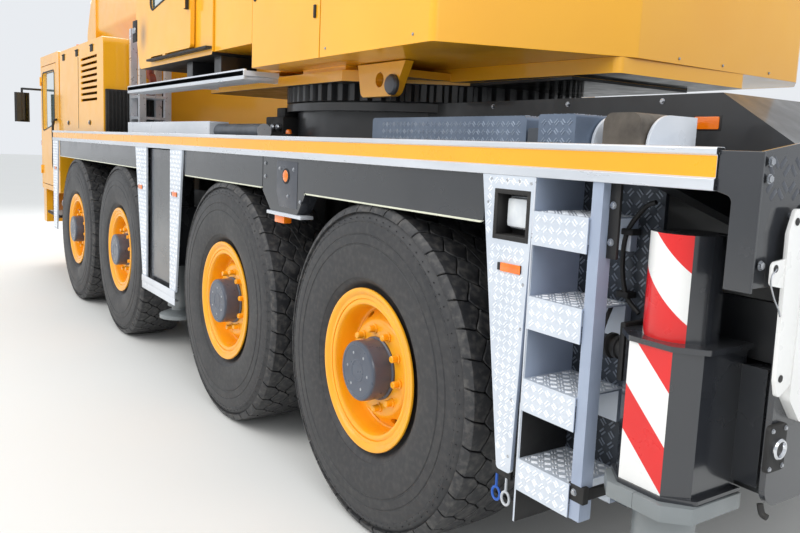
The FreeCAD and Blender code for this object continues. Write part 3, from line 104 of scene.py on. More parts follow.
def fill(tree, node, inputs):
    """Sets inputs of a node, or links those whose value is an output."""
    for name, value in inputs.items():
        if isinstance(value, bpy.types.NodeSocket):
            tree.links.new(value, node.inputs[name])
        else:
            node.inputs[name].default_value = value


def made(tree, kind, result, inputs, **settings):
    """Output of a new shader node."""
    node = tree.nodes.new(f"ShaderNode{kind}")
    for name, value in settings.items():
        setattr(node, name, value)
    fill(tree, node, inputs)
    return node.outputs[result]


def nodes_of(name):
    material = bpy.data.materials.new(name)
    material.use_nodes = True
    tree = material.node_tree
    return material, tree, tree.nodes["Principled BSDF"], made(tree, "TexCoord", "Object", {})


def noise(tree, place, scale, detail=4.0, stretch=None):
    if stretch:
        place = made(tree, "Mapping", "Vector", {"Vector": place, "Scale": stretch})
    return made(tree, "TexNoise", "Fac", {"Vector": place, "Scale": scale, "Detail": detail})


def ranged(tree, value, low, high, to_low, to_high):
    return made(tree, "MapRange", "Result", {"Value": value, "From Min": low, "From Max": high,
                                             "To Min": to_low, "To Max": to_high})


def mixed(tree, factor, first, second):
    """Colour between two: each is a colour or an output."""
    return made(tree, "Mix", "Result", {"Factor": factor, "A": first, "B": second}, data_type="RGBA")


def bumped(tree, height, distance):
    return made(tree, "Bump", "Normal", {"Height": height, "Distance": distance, "Strength": 1.0})


def dusted(tree, place, colour, amount):
    """Dust that settles where a surface looks up, in soft patches."""
    height = made(tree, "SeparateXYZ", "Z", {"Vector": made(tree, "NewGeometry", "Normal", {})})
    up = ranged(tree, height, -0.2, 1.0, 0.15 * amount, amount)
    patches = ranged(tree, noise(tree, place, 2.4, 6.0), 0.35, 0.75, 0.2, 1.0)
    share = made(tree, "Math", "Value", {0: up, 1: patches}, operation="MULTIPLY")
    return mixed(tree, share, colour, srgb(150, 142, 130))


def finish(name, colour, second=None, spots=3.0, roughness=0.5, spread=0.08, metallic=0.0, coat=0.0,
           bump=0.0, grain=300.0, dust=0.0, stretch=None):
    """A surface of two close tones with uneven gloss, a fine grain and some dust."""
    material, tree, shader, place = nodes_of(name)
    colour = srgb(*colour)
    second = srgb(*second) if second else darker(colour, 0.82)
    patches = ranged(tree, noise(tree, place, spots, 5.0, stretch), 0.3, 0.7, 0.0, 1.0)
    tone = mixed(tree, patches, colour, second)
    if dust:
        tone = dusted(tree, place, tone, dust)
    gloss = noise(tree, place, spots * 3.7, 6.0, stretch)
    fill(tree, shader, {
        "Base Color": tone, "Metallic": metallic, "Coat Weight": coat, "Coat Roughness": 0.08,
        "Roughness": ranged(tree, gloss, 0.3, 0.7, roughness - spread, roughness + spread)})
    if bump:
        fill(tree, shader, {"Normal": bumped(tree, noise(tree, place, grain, 3.0, stretch), bump)})
    return material


def glass(name, colour, roughness=0.03, clear=0.75):
    material, tree, shader, place = nodes_of(name)
    colour = srgb(*colour)
    patches = ranged(tree, noise(tree, place, 2.0), 0.3, 0.7, 0.0, 1.0)
    fill(tree, shader, {
        "Base Color": mixed(tree, patches, colour, darker(colour, 0.9)), "Transmission Weight": clear,
        "IOR": 1.45,
        "Roughness": ranged(tree, noise(tree, place, 9.0), 0.3, 0.7, roughness * 0.6, roughness * 2)})
    return material


yellow = finish("yellow_paint", (250, 182, 26), (246, 174, 20), 1.6, 0.34, 0.06, coat=0.6,
                bump=0.00002, grain=420.0, dust=0.05)
rim_yellow = finish("rim_paint", (255, 178, 12), (250, 168, 8), 6.0, 0.36, 0.08, coat=0.4,
                    bump=0.00004, grain=260.0, dust=0.08)
strip_yellow = finish("strip_yellow", (250, 176, 4), (246, 168, 3), 2.0, 0.3, 0.05, coat=0.5)
frame_dark = finish("frame_dark", (36, 38, 42), (28, 30, 33), 2.5, 0.42, 0.1, coat=0.3,
                    bump=0.00004, dust=0.12)
dark_gloss = finish("dark_gloss", (46, 49, 54), (38, 40, 45), 1.4, 0.24, 0.08, coat=0.7,
                    bump=0.00002, grain=380.0, dust=0.06)
black_matt = finish("black_matt", (18, 18, 19), (26, 26, 27), 5.0, 0.62, 0.1, bump=0.0001, grain=220.0,
                    dust=0.1)
aluminium = finish("aluminium", (224, 228, 234), (208, 213, 220), 9.0, 0.34, 0.1, metallic=0.5,
                   bump=0.00003, grain=240.0, stretch=(0.15, 1.0, 1.0))
chequer = finish("chequer_aluminium", (214, 221, 230), (200, 208, 219), 5.0, 0.36, 0.08,
                 metallic=0.25, bump=0.00003, grain=180.0)
# Bars lighter than the chequer plate they stand on: a painted highlight on the raised bars.
chequer_bar_painted_highlight = finish("chequer_bars", (252, 253, 255), (236, 241, 247), 5.0, 0.26, 0.06, metallic=0.15)
dark_chequer = finish("dark_chequer", (74, 80, 88), (50, 55, 62), 9.0, 0.4, 0.12, metallic=0.5,
                      bump=0.00005, grain=180.0, dust=0.1)
blue_grey = finish("blue_grey_paint", (166, 178, 198), (150, 162, 184), 4.0, 0.4, 0.08, coat=0.2,
                   metallic=0.1, bump=0.00003, dust=0.1)
light_grey = finish("light_grey_paint", (208, 212, 216), (196, 200, 206), 3.0, 0.38, 0.08, coat=0.3,
                    bump=0.00003, dust=0.1)
leg_paint = finish("leg_paint", (132, 138, 140), (116, 122, 124), 3.0, 0.36, 0.08, coat=0.3,
                   bump=0.00003, dust=0.1)
cast = finish("cast_iron", (58, 58, 60), (40, 40, 42), 7.0, 0.55, 0.12, metallic=0.3, bump=0.0004,
              grain=60.0, dust=0.25)
hub_blue = finish("hub_cap_paint", (72, 82, 98), (60, 68, 84), 9.0, 0.36, 0.1, coat=0.3,
                  bump=0.00005, grain=200.0, dust=0.1)
zinc = finish("zinc_steel", (190, 192, 196), (160, 164, 170), 20.0, 0.3, 0.1, metallic=0.9)
chrome = finish("bright_rod", (224, 226, 230), (210, 212, 216), 6.0, 0.14, 0.04, metallic=1.0)
hook_red = finish("hook_red", (150, 62, 40), (124, 48, 32), 6.0, 0.48, 0.1, coat=0.2, bump=0.0002,
                  grain=80.0, dust=0.15)
signal_red = finish("signal_red", (224, 10, 10), (212, 8, 8), 3.0, 0.3, 0.05, coat=0.5)
signal_white = finish("signal_white", (238, 238, 236), (228, 228, 226), 3.0, 0.3, 0.05, coat=0.5)
amber = finish("amber_lens", (255, 132, 8), (240, 112, 4), 14.0, 0.16, 0.04, coat=0.8,
               bump=0.0003, grain=260.0)
lamp_white = finish("white_lens", (236, 240, 242), (216, 222, 228), 20.0, 0.14, 0.05, coat=0.8,
                    bump=0.0003, grain=240.0)
red_lens = finish("red_lens", (190, 16, 14), (160, 10, 10), 14.0, 0.16, 0.04, coat=0.8,
                  bump=0.0003, grain=260.0)
blue_plastic = finish("blue_plastic", (40, 96, 190), (34, 84, 172), 6.0, 0.4, 0.08)
hose_rubber = finish("hose_rubber", (20, 20, 21), (30, 30, 31), 12.0, 0.5, 0.1, bump=0.0001,
                     grain=400.0, dust=0.1)
seat_cloth = finish("seat_cloth", (44, 46, 52), (34, 36, 40), 30.0, 0.9, 0.05, bump=0.0004,
                    grain=700.0)
rope_steel = finish("rope_steel", (96, 92, 86), (70, 66, 60), 40.0, 0.5, 0.1, metallic=0.6,
                    bump=0.0006, grain=160.0)
teal_glass = glass("teal_glass", (120, 160, 158))
mirror_glass = finish("mirror_glass", (78, 84, 90), None, 2.0, 0.05, 0.01, metallic=1.0)
pale_edge = finish("pale_edge", (226, 228, 206), (206, 208, 190), 6.0, 0.3, 0.06)
dark_plate = finish("dark_plate", (92, 95, 102), (74, 77, 84), 4.0, 0.34, 0.08, metallic=0.4,
                    bump=0.00003)
dark_cover = finish("cover_paint", (120, 134, 154), (98, 112, 132), 5.0, 0.4, 0.1, metallic=0.3,
                    bump=0.00004, dust=0.1)
# Bars lighter than the blue-grey cover they stand on: a painted highlight on the raised bars.
cover_bar_painted_highlight = finish("cover_bars_painted_highlight", (176, 188, 204), (140, 152, 170), 9.0, 0.34, 0.1, metallic=0.5)
# Bars lighter than the dark backing they stand on: a painted highlight on the raised bars.
dark_bar_painted_highlight = finish("dark_bars_painted_highlight", (150, 157, 168), (112, 119, 130), 9.0, 0.36, 0.1, metallic=0.5)
pale_plate = finish("pale_plate", (226, 230, 236), (206, 212, 220), 3.0, 0.34, 0.08, coat=0.3,
                    bump=0.00003, dust=0.1)
grey_box = finish("grey_box", (84, 90, 98), (66, 72, 80), 5.0, 0.4, 0.1, dust=0.15)
worn_rubber = finish("worn_rubber", (112, 104, 94), (74, 68, 62), 12.0, 0.7, 0.12, bump=0.0006,
                     grain=90.0, dust=0.3)


def rubber(name, dusty):
    """Tyre rubber: dark, a little glossy on the wall, paler with dust in the tread."""
    material, tree, shader, place = nodes_of(name)
    patches = noise(tree, place, 5.0, 6.0)
    tone = mixed(tree, ranged(tree, patches, 0.3, 0.75, 0.0, 1.0), srgb(38, 39, 42), srgb(54, 54, 56))
    fine = ranged(tree, noise(tree, place, 38.0, 5.0), 0.45, 0.8, 0.0, dusty)
    fill(tree, shader, {
        "Base Color": mixed(tree, fine, tone, srgb(128, 124, 118)),
        "Roughness": ranged(tree, patches, 0.3, 0.7, 0.42, 0.62),
        "Normal": bumped(tree, noise(tree, place, 240.0, 3.0), 0.0002)})
    return material


wall_rubber = rubber("tyre_wall", 0.15)
tread_rubber = rubber("tyre_tread", 0.4)


# Shapes: each is a list of points and a list of faces

def shape_of(mesh):
    points = [vert.co.copy() for vert in mesh.verts]
    for number, vert in enumerate(mesh.verts):
        vert.index = number
    faces = [[vert.index for vert in face.verts] for face in mesh.faces]
    mesh.free()
    return points, faces


def rounded(mesh, edges, amount, clamp=True):
    bmesh.ops.bevel(mesh, geom=edges, offset=amount, segments=2, profile=0.6, affect="EDGES",
                    clamp_overlap=clamp)


def cut(mesh, point, normal):
    """Divides the faces along a plane."""
    bmesh.ops.bisect_plane(mesh, geom=mesh.verts[:] + mesh.edges[:] + mesh.faces[:], plane_co=point,
                           plane_no=normal)


def extruded(mesh, corners, low, high):
    """Fills a mesh with the slab over the outline corners (a, b). Returns what makes its top."""
    face = mesh.faces.new([mesh.verts.new((a, b, low)) for a, b in corners])
    mesh.normal_update()
    if face.normal.z < 0:
        face.normal_flip()
    top = bmesh.ops.extrude_face_region(mesh, geom=[face])["geom"]
    for item in top:
        if isinstance(item, bmesh.types.BMVert):
            item.co.z = high
    return top


def block(low, high, round_off=0.003):
    """Box between two corners with rounded edges."""
    low, high = Vector(low), Vector(high)
    mesh = bmesh.new()
    bmesh.ops.create_cube(mesh, size=1.0)
    for vert in mesh.verts:
        for axis in range(3):
            vert.co[axis] = low[axis] if vert.co[axis] < 0 else high[axis]
    rounded(mesh, mesh.edges[:], min(round_off, *((high - low) * 0.45)), False)
    return shape_of(mesh)


def plate(corners, place, depth, round_off=0.002):
    """Plate with the outline corners (a, b), put in space by place(a, b, height)."""
    mesh = bmesh.new()
    extruded(mesh, corners, 0.0, depth)
    bmesh.ops.recalc_face_normals(mesh, faces=mesh.faces[:])
    sharp = radians(30)
    rounded(mesh, [edge for edge in mesh.edges if edge.calc_face_angle(0.0) > sharp], round_off)
    for vert in mesh.verts:
        vert.co = Vector(place(*vert.co))
    return shape_of(mesh)


def turned(profile, sides=48, closed=False):
    """Points (height, radius) turned about Z. A radius of 0 makes a centre point."""
    points, faces, rings = [], [], []
    for height, radius in profile:
        if radius <= 0:
            rings.append([len(points)] * sides)
            points.append(Vector((0, 0, height)))
            continue
        rings.append(list(range(len(points), len(points) + sides)))
        for number in range(sides):
            angle = 2 * pi * number / sides
            points.append(Vector((radius * cos(angle), radius * sin(angle), height)))
    pairs = list(zip(rings, rings[1:]))
    if closed:
        pairs.append((rings[-1], rings[0]))
    for lower, upper in pairs:
        for number in range(sides):
            onward = (number + 1) % sides
            corners = []
            for corner in (lower[number], lower[onward], upper[onward], upper[number]):
                if corner not in corners:
                    corners.append(corner)
            if len(corners) > 2:
                faces.append(corners)
    return points, faces


def aimed(shape, start, direction):
    """The shape with its Z axis turned to direction and its origin at start."""
    turn = Vector((0, 0, 1)).rotation_difference(Vector(direction)).to_matrix().to_4x4()
    return moved(shape, Matrix.Translation(Vector(start)) @ turn)


def moved(shape, matrix):
    points, faces = shape
    if matrix.determinant() < 0:
        faces = [face[::-1] for face in faces]
    return [matrix @ point for point in points], faces


def rod(start, end, radius, sides=24, round_off=0.003):
    start, end = Vector(start), Vector(end)
    length = (end - start).length
    r = min(round_off, radius * 0.5, length * 0.4)
    profile = [(0, 0), (0, radius - r), (r * 0.3, radius - r * 0.3), (r, radius), (length - r, radius),
               (length - r * 0.3, radius - r * 0.3), (length, radius - r), (length, 0)]
    return aimed(turned(profile, sides), start, end - start)


def tube(path, radius, sides=12):
    """Round tube along points, with closed ends."""
    path = [Vector(point) for point in path]
    points, faces, rings = [], [], []
    ahead = (path[1] - path[0]).normalized()
    across = ahead.orthogonal().normalized()
    for number, point in enumerate(path):
        before = path[max(number - 1, 0)]
        after = path[min(number + 1, len(path) - 1)]
        onward = (after - before).normalized()
        across = (across - onward * across.dot(onward)).normalized()
        beside = onward.cross(across)
        rings.append(range(len(points), len(points) + sides))
        for step in range(sides):
            angle = 2 * pi * step / sides
            points.append(point + (across * cos(angle) + beside * sin(angle)) * radius)
    for lower, upper in zip(rings, rings[1:]):
        for step in range(sides):
            onward = (step + 1) % sides
            faces.append([lower[step], lower[onward], upper[onward], upper[step]])
    faces.append(list(rings[0])[::-1])
    faces.append(list(rings[-1]))
    return points, faces


def smooth_path(corners, steps=6):
    """Points of a smooth line through the corners, whose x counts from the rear axle."""
    corners = [Vector((at(x), y, z)) for x, y, z in corners]
    path = []
    for number in range(len(corners) - 1):
        p0, p1, p2 = corners[max(number - 1, 0)], corners[number], corners[number + 1]
        p3 = corners[min(number + 2, len(corners) - 1)]
        for step in range(steps):
            t = step / steps
            path.append(0.5 * (2 * p1 + (p2 - p0) * t + (2 * p0 - 5 * p1 + 4 * p2 - p3) * t * t
                               + (3 * p1 - p0 - 3 * p2 + p3) * t ** 3))
    path.append(corners[-1])
    return path


def side_place(y, side=1):
    """Puts (x from the rear axle, z, height) on an upright sheet that looks outwards at y."""
    return lambda a, b, height: (at(a), side * (y + height), b)


def top_place(z):
    """Puts (x from the rear axle, y, height) on a flat sheet at z."""
    return lambda a, b, height: (at(a), b, z + height)


def end_place(x, way=1):
    """Puts (y, z, height) on an upright sheet across the crane at x."""
    return lambda a, b, height: (at(x) + way * height, a, b)


def slope_place(x, low_z, slope):
    """Puts (y, z) on a leaning screen, which is at x at the height low_z."""
    return lambda a, b, height=0.0: (at(x + slope * (b - low_z)), a, b)


def about(centre, half):
    return centre - half, centre + half


def bolt_head(size=0.01, height=0.007):
    """Six-sided head on a washer, standing along Z."""
    washer = turned([(0, 0), (0, size * 1.15), (height * 0.25, size * 1.15), (height * 0.25, 0)], 16)
    head = turned([(height * 0.25, 0), (height * 0.25, size * 0.9), (height * 0.85, size * 0.9),
                   (height, size * 0.72), (height, 0)], 6)
    count = len(washer[0])
    return washer[0] + head[0], washer[1] + [[index + count for index in face] for face in head[1]]


def new_object(name, data):
    thing = bpy.data.objects.new(name, data)
    bpy.context.scene.collection.objects.link(thing)
    return thing


class Piece:
    """A mesh that is put together from shapes, each with its material, and rides on one body.
    On a mirrored piece each shape is there on both sides of the crane."""

    def __init__(self, name, body="root", mirrored=False):
        self.name, self.body, self.mirrored = name, body, mirrored
        self.points, self.faces, self.slots, self.materials = [], [], [], []

    def add(self, shape, material, both_sides=False):
        if material not in self.materials:
            self.materials.append(material)
        slot = self.materials.index(material)
        shapes = [shape]
        if both_sides or self.mirrored:
            shapes.append(moved(shape, Matrix.Scale(-1, 4, (0, 1, 0))))
        for points, faces in shapes:
            first = len(self.points)
            self.points += points
            self.faces += [[first + index for index in face] for face in faces]
            self.slots += [slot] * len(faces)

    def box(self, x, y, z, material, round_off=0.003, both_sides=False):
        """Rounded box over the ranges x (from the rear axle), y and z."""
        low, high = zip((at(x[0]), at(x[1])), y, z)
        self.add(block(low, high, round_off), material, both_sides)

    def put(self, shape, spot, direction, material, both_sides=False):
        """The shape at a spot (x from the rear axle, y, z), its Z axis turned to direction."""
        x, y, z = spot
        self.add(aimed(shape, (at(x), y, z), direction), material, both_sides)

    def done(self, *nodes, sharp=35.0):
        mesh = bpy.data.meshes.new(self.name)
        mesh.from_pydata([tuple(point) for point in self.points], [], self.faces)
        for material in self.materials:
            mesh.materials.append(material)
        mesh.polygons.foreach_set("material_index", self.slots)
        mesh.polygons.foreach_set("use_smooth", [True] * len(self.slots))
        mesh.set_sharp_from_angle(angle=radians(sharp))
        mesh.validate()
        thing = new_object(self.name, mesh)
        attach(thing, self.body)
        if nodes:
            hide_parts(*nodes)
        return thing


def body_of_node(node):
    return frame["nodes"][node]["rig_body"]


def dressed(node, materials, rule=None, round_off=0.003, cuts=(), keep=None):
    """A finer copy of a node: its flat faces made whole and its edges rounded.
    rule(x from the rear axle, y, z, normal) gives the number of a face's material, for both sides
    as on the left. Each cut is a plane (point, normal) that divides faces, so that a material can
    end there. keep(centre) says which faces stay."""
    mesh = bmesh.new()
    mesh.from_mesh(frame["nodes"][node].data)
    if keep:
        gone = [face for face in mesh.faces if not keep(face.calc_center_median())]
        bmesh.ops.delete(mesh, geom=gone, context="FACES")
    bmesh.ops.remove_doubles(mesh, verts=mesh.verts[:], dist=0.00002)
    bmesh.ops.dissolve_limit(mesh, angle_limit=radians(0.6), verts=mesh.verts[:],
                             edges=mesh.edges[:])
    for point, normal in cuts:
        cut(mesh, point, normal)
    mesh.normal_update()
    if round_off:
        rounded(mesh, [edge for edge in mesh.edges if len(edge.link_faces) == 2
                       and edge.calc_face_angle(0.0) > radians(40)], round_off)
    mesh.normal_update()
    for face in mesh.faces:
        face.smooth = True
        if rule:
            x, y, z = face.calc_center_median()
            normal = face.normal.copy()
            if y < 0:
                y, normal.y = -y, -normal.y
            face.material_index = rule(x - rear_axle_x, y, z, normal)
    data = bpy.data.meshes.new(f"{node}_dressed")
    mesh.to_mesh(data)
    mesh.free()
    data.set_sharp_from_angle(angle=radians(32))
    for material in materials:
        data.materials.append(material)
    thing = new_object(data.name, data)
    thing.modifiers.new("weighted", "WEIGHTED_NORMAL").keep_sharp = True
    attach(thing, body_of_node(node))
    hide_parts(node)


# Tyres: the walls and the tread's ground are turned, the tread's blocks stand on it

to_axle = Matrix.Rotation(-pi / 2, 4, "X")
# Wall from the bead outwards: distance from the middle of the tyre, radius
WALL = (
    (0.17, 0.3185), (0.17, 0.366), (0.176, 0.378), (0.188, 0.388), (0.1985, 0.4), (0.206, 0.412),
    (0.2085, 0.413), (0.211, 0.42), (0.2165, 0.45), (0.22, 0.485), (0.2218, 0.52), (0.2222, 0.548),
    (0.2222, 0.556), (0.219, 0.559), (0.219, 0.564), (0.222, 0.567), (0.2214, 0.586),
    (0.2204, 0.602), (0.2172, 0.6045), (0.2172, 0.6085), (0.2196, 0.6115), (0.2178, 0.634),
    (0.215, 0.656), (0.2138, 0.66), (0.2158, 0.664), (0.2148, 0.671), (0.211, 0.6745),
    (0.208, 0.68),
)
shoulder_reach = 0.2075
groove_depth = 0.017
pitch_count = 40
crown = 0.215
tread_edge = 0.186


def crown_radius(y):
    return tyre_radius - crown * y * y


def tread_place(along, across, height):
    """Point of the tread: along is counted in pitches, across from the middle over the shoulder's
    edge and down its side, height from the tread's own surface."""
    side = 1 if across >= 0 else -1
    over = abs(across) - tread_edge
    edge_radius = crown_radius(tread_edge)
    if over <= 0:
        y, radius = abs(across), crown_radius(across) + height
    else:
        reach = min(over / 0.062, 1.0)
        y = tread_edge + (shoulder_reach - tread_edge) * sin(reach * pi / 2) + height * reach
        radius = edge_radius - over ** 1.25 * 1.62 + height * (1 - reach)
    angle = 2 * pi * along / pitch_count
    return Vector((radius * sin(angle), side * y, radius * cos(angle)))


# Lines between the rows of blocks: distance from the middle, how far they swing, their shift
LINES = ((-0.118, 0.017, 0.0), (-0.04, 0.017, 0.5), (0.04, 0.017, 0.0), (0.118, 0.017, 0.5))
groove = 0.0075
edge_of_row = tread_edge + 0.046
pitch = 2 * pi * tyre_radius / pitch_count


def line_across(line, along):
    """Where a wavy line between two rows lies at a place along the tread."""
    centre, swing, shift = LINES[line]
    wave = sin(2 * pi * (along + shift)) + 0.22 * sin(4 * pi * (along + shift))
    return centre + swing * wave


def row_outline(row):
    """Corners (along, across) of one block of a row, clear of the grooves beside it."""
    gap = groove / 2 / pitch
    steps = 6
    slant = 0.1
    left, right = row - 1, row
    lean_left = 0.25 if left < 0 else 0.25 - LINES[left][2]
    lean_right = 0.25 if right > 3 else 0.75 - LINES[right][2]
    if left < 0:
        lean_left = lean_right
    if right > 3:
        lean_right = lean_left
    corners = []
    for step in range(steps + 1):
        along = lean_left - slant + gap + (1 - 2 * gap) * step / steps
        across = -edge_of_row if left < 0 else line_across(left, along) + groove / 2
        corners.append((along, across))
    for step in range(steps, -1, -1):
        along = lean_right + slant + gap + (1 - 2 * gap) * step / steps
        across = edge_of_row if right > 3 else line_across(right, along) - groove / 2
        corners.append((along, across))
    return corners


def tread_block(row):
    """One block in flat form, chamfered, cut across so that it can bend round the tyre."""
    mesh = bmesh.new()
    top = extruded(mesh, [(a * pitch, b) for a, b in row_outline(row)], -groove_depth, 0.0)
    caps = [item for item in top if isinstance(item, bmesh.types.BMFace)]
    rim_edges = list({edge for cap in caps for edge in cap.edges})
    bmesh.ops.bevel(mesh, geom=rim_edges, offset=0.0022, segments=1, affect="EDGES")
    hidden = [face for face in mesh.faces
              if face.normal.z < -0.9 and face.calc_center_median().z < -0.9 * groove_depth]
    bmesh.ops.delete(mesh, geom=hidden, context="FACES_ONLY")
    low, high = (chosen(vert.co.x for vert in mesh.verts) for chosen in (min, max))
    for share in (1 / 3, 2 / 3):
        cut(mesh, (low + (high - low) * share, 0, 0), (1, 0, 0))
    if row in (0, 4):
        for y in (tread_edge, tread_edge + 0.015, tread_edge + 0.03):
            cut(mesh, (0, -y if row == 0 else y, 0), (0, 1, 0))
    points, faces = shape_of(mesh)
    return [(point.x / pitch, point.y, point.z) for point in points], faces


def make_tyre():
    """The tyre's mesh about its own centre, outer side towards +Y."""
    piece = Piece("tyre_master")
    profile = [(-y, radius) for y, radius in WALL]
    for step in range(25):
        point = tread_place(0, (-1 + step / 12) * edge_of_row, -groove_depth)
        profile.append((point.y, point.z))
    profile += reversed(WALL)
    piece.add(moved(turned(profile, 120, closed=True), to_axle), wall_rubber)
    blocks = [tread_block(row) for row in range(5)]
    for number in range(pitch_count):
        for points, faces in blocks:
            bent = [tread_place(along + number, across, height) for along, across, height in points]
            piece.add((bent, faces), tread_rubber)
    nub = turned([(0, 0.0028), (0.004, 0.0024), (0.005, 0)], 6)
    for side in (1, -1):
        for number in range(pitch_count * 2):
            angle = pi * (number + 0.5) / pitch_count
            for reach, radius in ((0.214, 0.663), (0.2085, 0.68)):
                spot = (radius * sin(angle), side * reach, radius * cos(angle))
                piece.add(aimed(nub, spot, (0, side, 0)), wall_rubber)
    return piece


def on_wheels(master, nodes, ending, y):
    """Copies of a wheel's piece at each wheel, each turned by chance."""
    for side_name, side in SIDES:
        for number in AXLES:
            wheel = f"{number}_{side_name}"
            copy = Piece(f"{nodes}_{wheel}_{ending}", f"wheel_{wheel}")
            place = Matrix.Translation((middle(f"tyre_{wheel}").x, side * y, axle_z))
            if side < 0:
                place = place @ Matrix.Rotation(pi, 4, "Z")
            place = place @ Matrix.Rotation(chance.uniform(0, 2 * pi), 4, "Y")
            copy.points = [place @ Vector(point) for point in master.points]
            copy.faces, copy.slots, copy.materials = master.faces, master.slots, master.materials
            copy.done(f"{nodes}_{wheel}", sharp=28)


on_wheels(make_tyre(), "tyre", "rubber", tyre_y)


# Wheel rims

# Outer side of the rim from the tyre's seat to the dish: distance from the wheel's middle, radius
RIM_OUTER = (
    (0.1705, 0.318), (0.1705, 0.36), (0.1714, 0.3645), (0.1745, 0.3668), (0.179, 0.367), (0.183, 0.3652),
    (0.1845, 0.3615), (0.1845, 0.356), (0.183, 0.35), (0.177, 0.341), (0.169, 0.333), (0.1645, 0.327),
    (0.164, 0.3215), (0.1665, 0.316), (0.1705, 0.3105), (0.1722, 0.3045), (0.1715, 0.2985), (0.168, 0.293),
    (0.16, 0.2885), (0.14, 0.2862), (0.09, 0.285), (0.076, 0.282), (0.068, 0.278), (0.064, 0.272),
)
RIM_INNER = (
    (0.04, 0.272), (0.036, 0.304), (-0.18, 0.304), (-0.1845, 0.3085), (-0.1845, 0.361),
    (-0.1815, 0.3665), (-0.1735, 0.3665), (-0.1705, 0.363), (-0.1705, 0.318),
)
RIM_DISC = (
    (0.1085, 0.223), (0.1135, 0.217), (0.1155, 0.209), (0.116, 0.14), (-0.06, 0.14), (-0.06, 0.15),
    (0.09, 0.15), (0.09, 0.205), (0.0845, 0.223),
)
HUB_CAP = (
    (0.1, 0.143), (0.124, 0.143), (0.127, 0.14), (0.129, 0.1355), (0.208, 0.135), (0.216, 0.1338),
    (0.2215, 0.13), (0.2238, 0.124), (0.224, 0.115), (0.2225, 0.113), (0.2225, 0.052), (0.2238, 0.05),
    (0.2238, 0.044), (0.2222, 0.042), (0.2222, 0.0),
)
slot_count = 10


def slotted_cone(outer, inner, thickness, count):
    """Ring between two (distance, radius) edges with an oval hole in each of its sectors."""
    points, faces = [], []
    sector = 2 * pi / count
    steps = 6
    border = [(-1 + 2 * step / steps, -1) for step in range(steps)]
    border += [(1, -1 + 2 * step / steps) for step in range(steps)]
    border += [(1 - 2 * step / steps, 1) for step in range(steps)]
    border += [(-1, 1 - 2 * step / steps) for step in range(steps)]
    middle_radius = (outer[1] + inner[1]) / 2
    half_depth = (outer[1] - inner[1]) / 2
    hole_along, hole_across = 0.024 / middle_radius / (sector / 2), 0.015 / half_depth
    total = len(border)
    for number in range(count):
        first = len(points)
        for layer in (0.0, -thickness):
            for ring in ("border", "hole"):
                for a, b in border:
                    if ring == "hole":
                        angle = atan2(b, a)
                        a, b = hole_along * cos(angle), hole_across * sin(angle)
                    radius = middle_radius + b * half_depth
                    share = (radius - inner[1]) / (outer[1] - inner[1])
                    height = inner[0] + (outer[0] - inner[0]) * share + layer
                    around = sector * (number + 0.5 + a / 2)
                    points.append(Vector((radius * cos(around), radius * sin(around), height)))
        for step in range(total):
            onward = (step + 1) % total
            front = [first + step, first + onward, first + total + onward, first + total + step]
            faces.append(front)
            faces.append([index + 2 * total for index in reversed(front)])
            faces.append([first + total + step, first + total + onward,
                          first + 3 * total + onward, first + 3 * total + step])
    return points, faces


def make_rim():
    """Deep-dished rim about its own centre, outer side towards +Y."""
    piece = Piece("rim_master")
    nut = turned([(0.0, 0.0215), (0.006, 0.0215), (0.008, 0.016), (0.034, 0.0155), (0.0375, 0.0125),
                  (0.038, 0.0)], 14)
    shapes = [(turned(RIM_INNER + RIM_OUTER, 72), rim_yellow), (turned(RIM_DISC, 60), rim_yellow),
              (slotted_cone((0.064, 0.272), (0.1085, 0.223), 0.024, slot_count), rim_yellow),
              (turned(HUB_CAP, 60), hub_blue)]
    for shape, look, count, shift, circle, height in (
            (nut, rim_yellow, slot_count, 0.0, 0.178, 0.1155),
            (bolt_head(0.0075, 0.0055), zinc, 6, 0.25, 0.083, 0.2182)):
        for number in range(count):
            angle = 2 * pi * (number + shift) / count
            spot = (circle * cos(angle), circle * sin(angle), height)
            shapes.append((aimed(shape, spot, (0, 0, 1)), look))
    shapes.append((tube([(0.19, 0.2, 0.105), (0.21, 0.215, 0.135), (0.215, 0.222, 0.165)], 0.005, 8), zinc))
    for shape, look in shapes:
        piece.add(moved(shape, to_axle), look)
    return piece


on_wheels(make_rim(), "rim", "dish", wheel_y)


# Every node in its finish. A look rule says by place which of its node's materials a face has.

skirt_edge = 1.49


def bright_edge(x, y, z, normal):
    """0 dark, 1 the pale lower edge of the skirts."""
    return 1 if y > 1.34 and 1.478 < z < skirt_edge and -0.76 < x < 6.6 else 0


def ladder_look(x, y, z, normal):
    """Bright sheets, a smooth rear rail and side sheets, dark backing and mudflap."""
    if y < 1.35 and z < 0.905 and -1.02 < x < -0.99:
        return 3
    if x < -1.244 and y > 1.3:
        return 1
    if y < 1.145:
        return 2
    if abs(normal.x) > 0.9 and y < 1.367 and x < -0.99:
        return 1
    return 0


# Parts on the deck: rear end, front end, then 0 light box, 1 blue-grey chequer, 2 pale plate,
# 3 rubber, 4 dark grey, 5 bright, 6 white. The first that fits counts.
DECK_GEAR = (
    (-9.0, -1.75, 6), (4.6, 9.0, 5), (2.39, 9.0, 2), (1.6, 1.67, 5), (1.6, 9.0, 4), (-0.57, 0.5, 1),
    (-0.57, 0.58, 5), (-0.75, -0.56, 4), (-0.94, -0.74, 1), (-1.1605, -1.0005, 3),
)


def deck_gear_look(x, y, z, normal):
    return next((number for low, high, number in DECK_GEAR if low < x < high), 2)


def turntable_look(x, y, z, normal):
    """0 dark ring, 1 yellow plate and cheeks, 2 bright step platform."""
    if 0.36 < x < 0.83 and 0.895 < y < 0.955:
        return 1
    if x > 1.5 and y > 1.0 and z < 2.16:
        return 2
    if x > 1.5 and y > 0.4 and 2.165 < z < 2.5:
        return 0
    if z < 2.094 or (z < 2.145 and normal.z < -0.7):
        return 0
    return 1


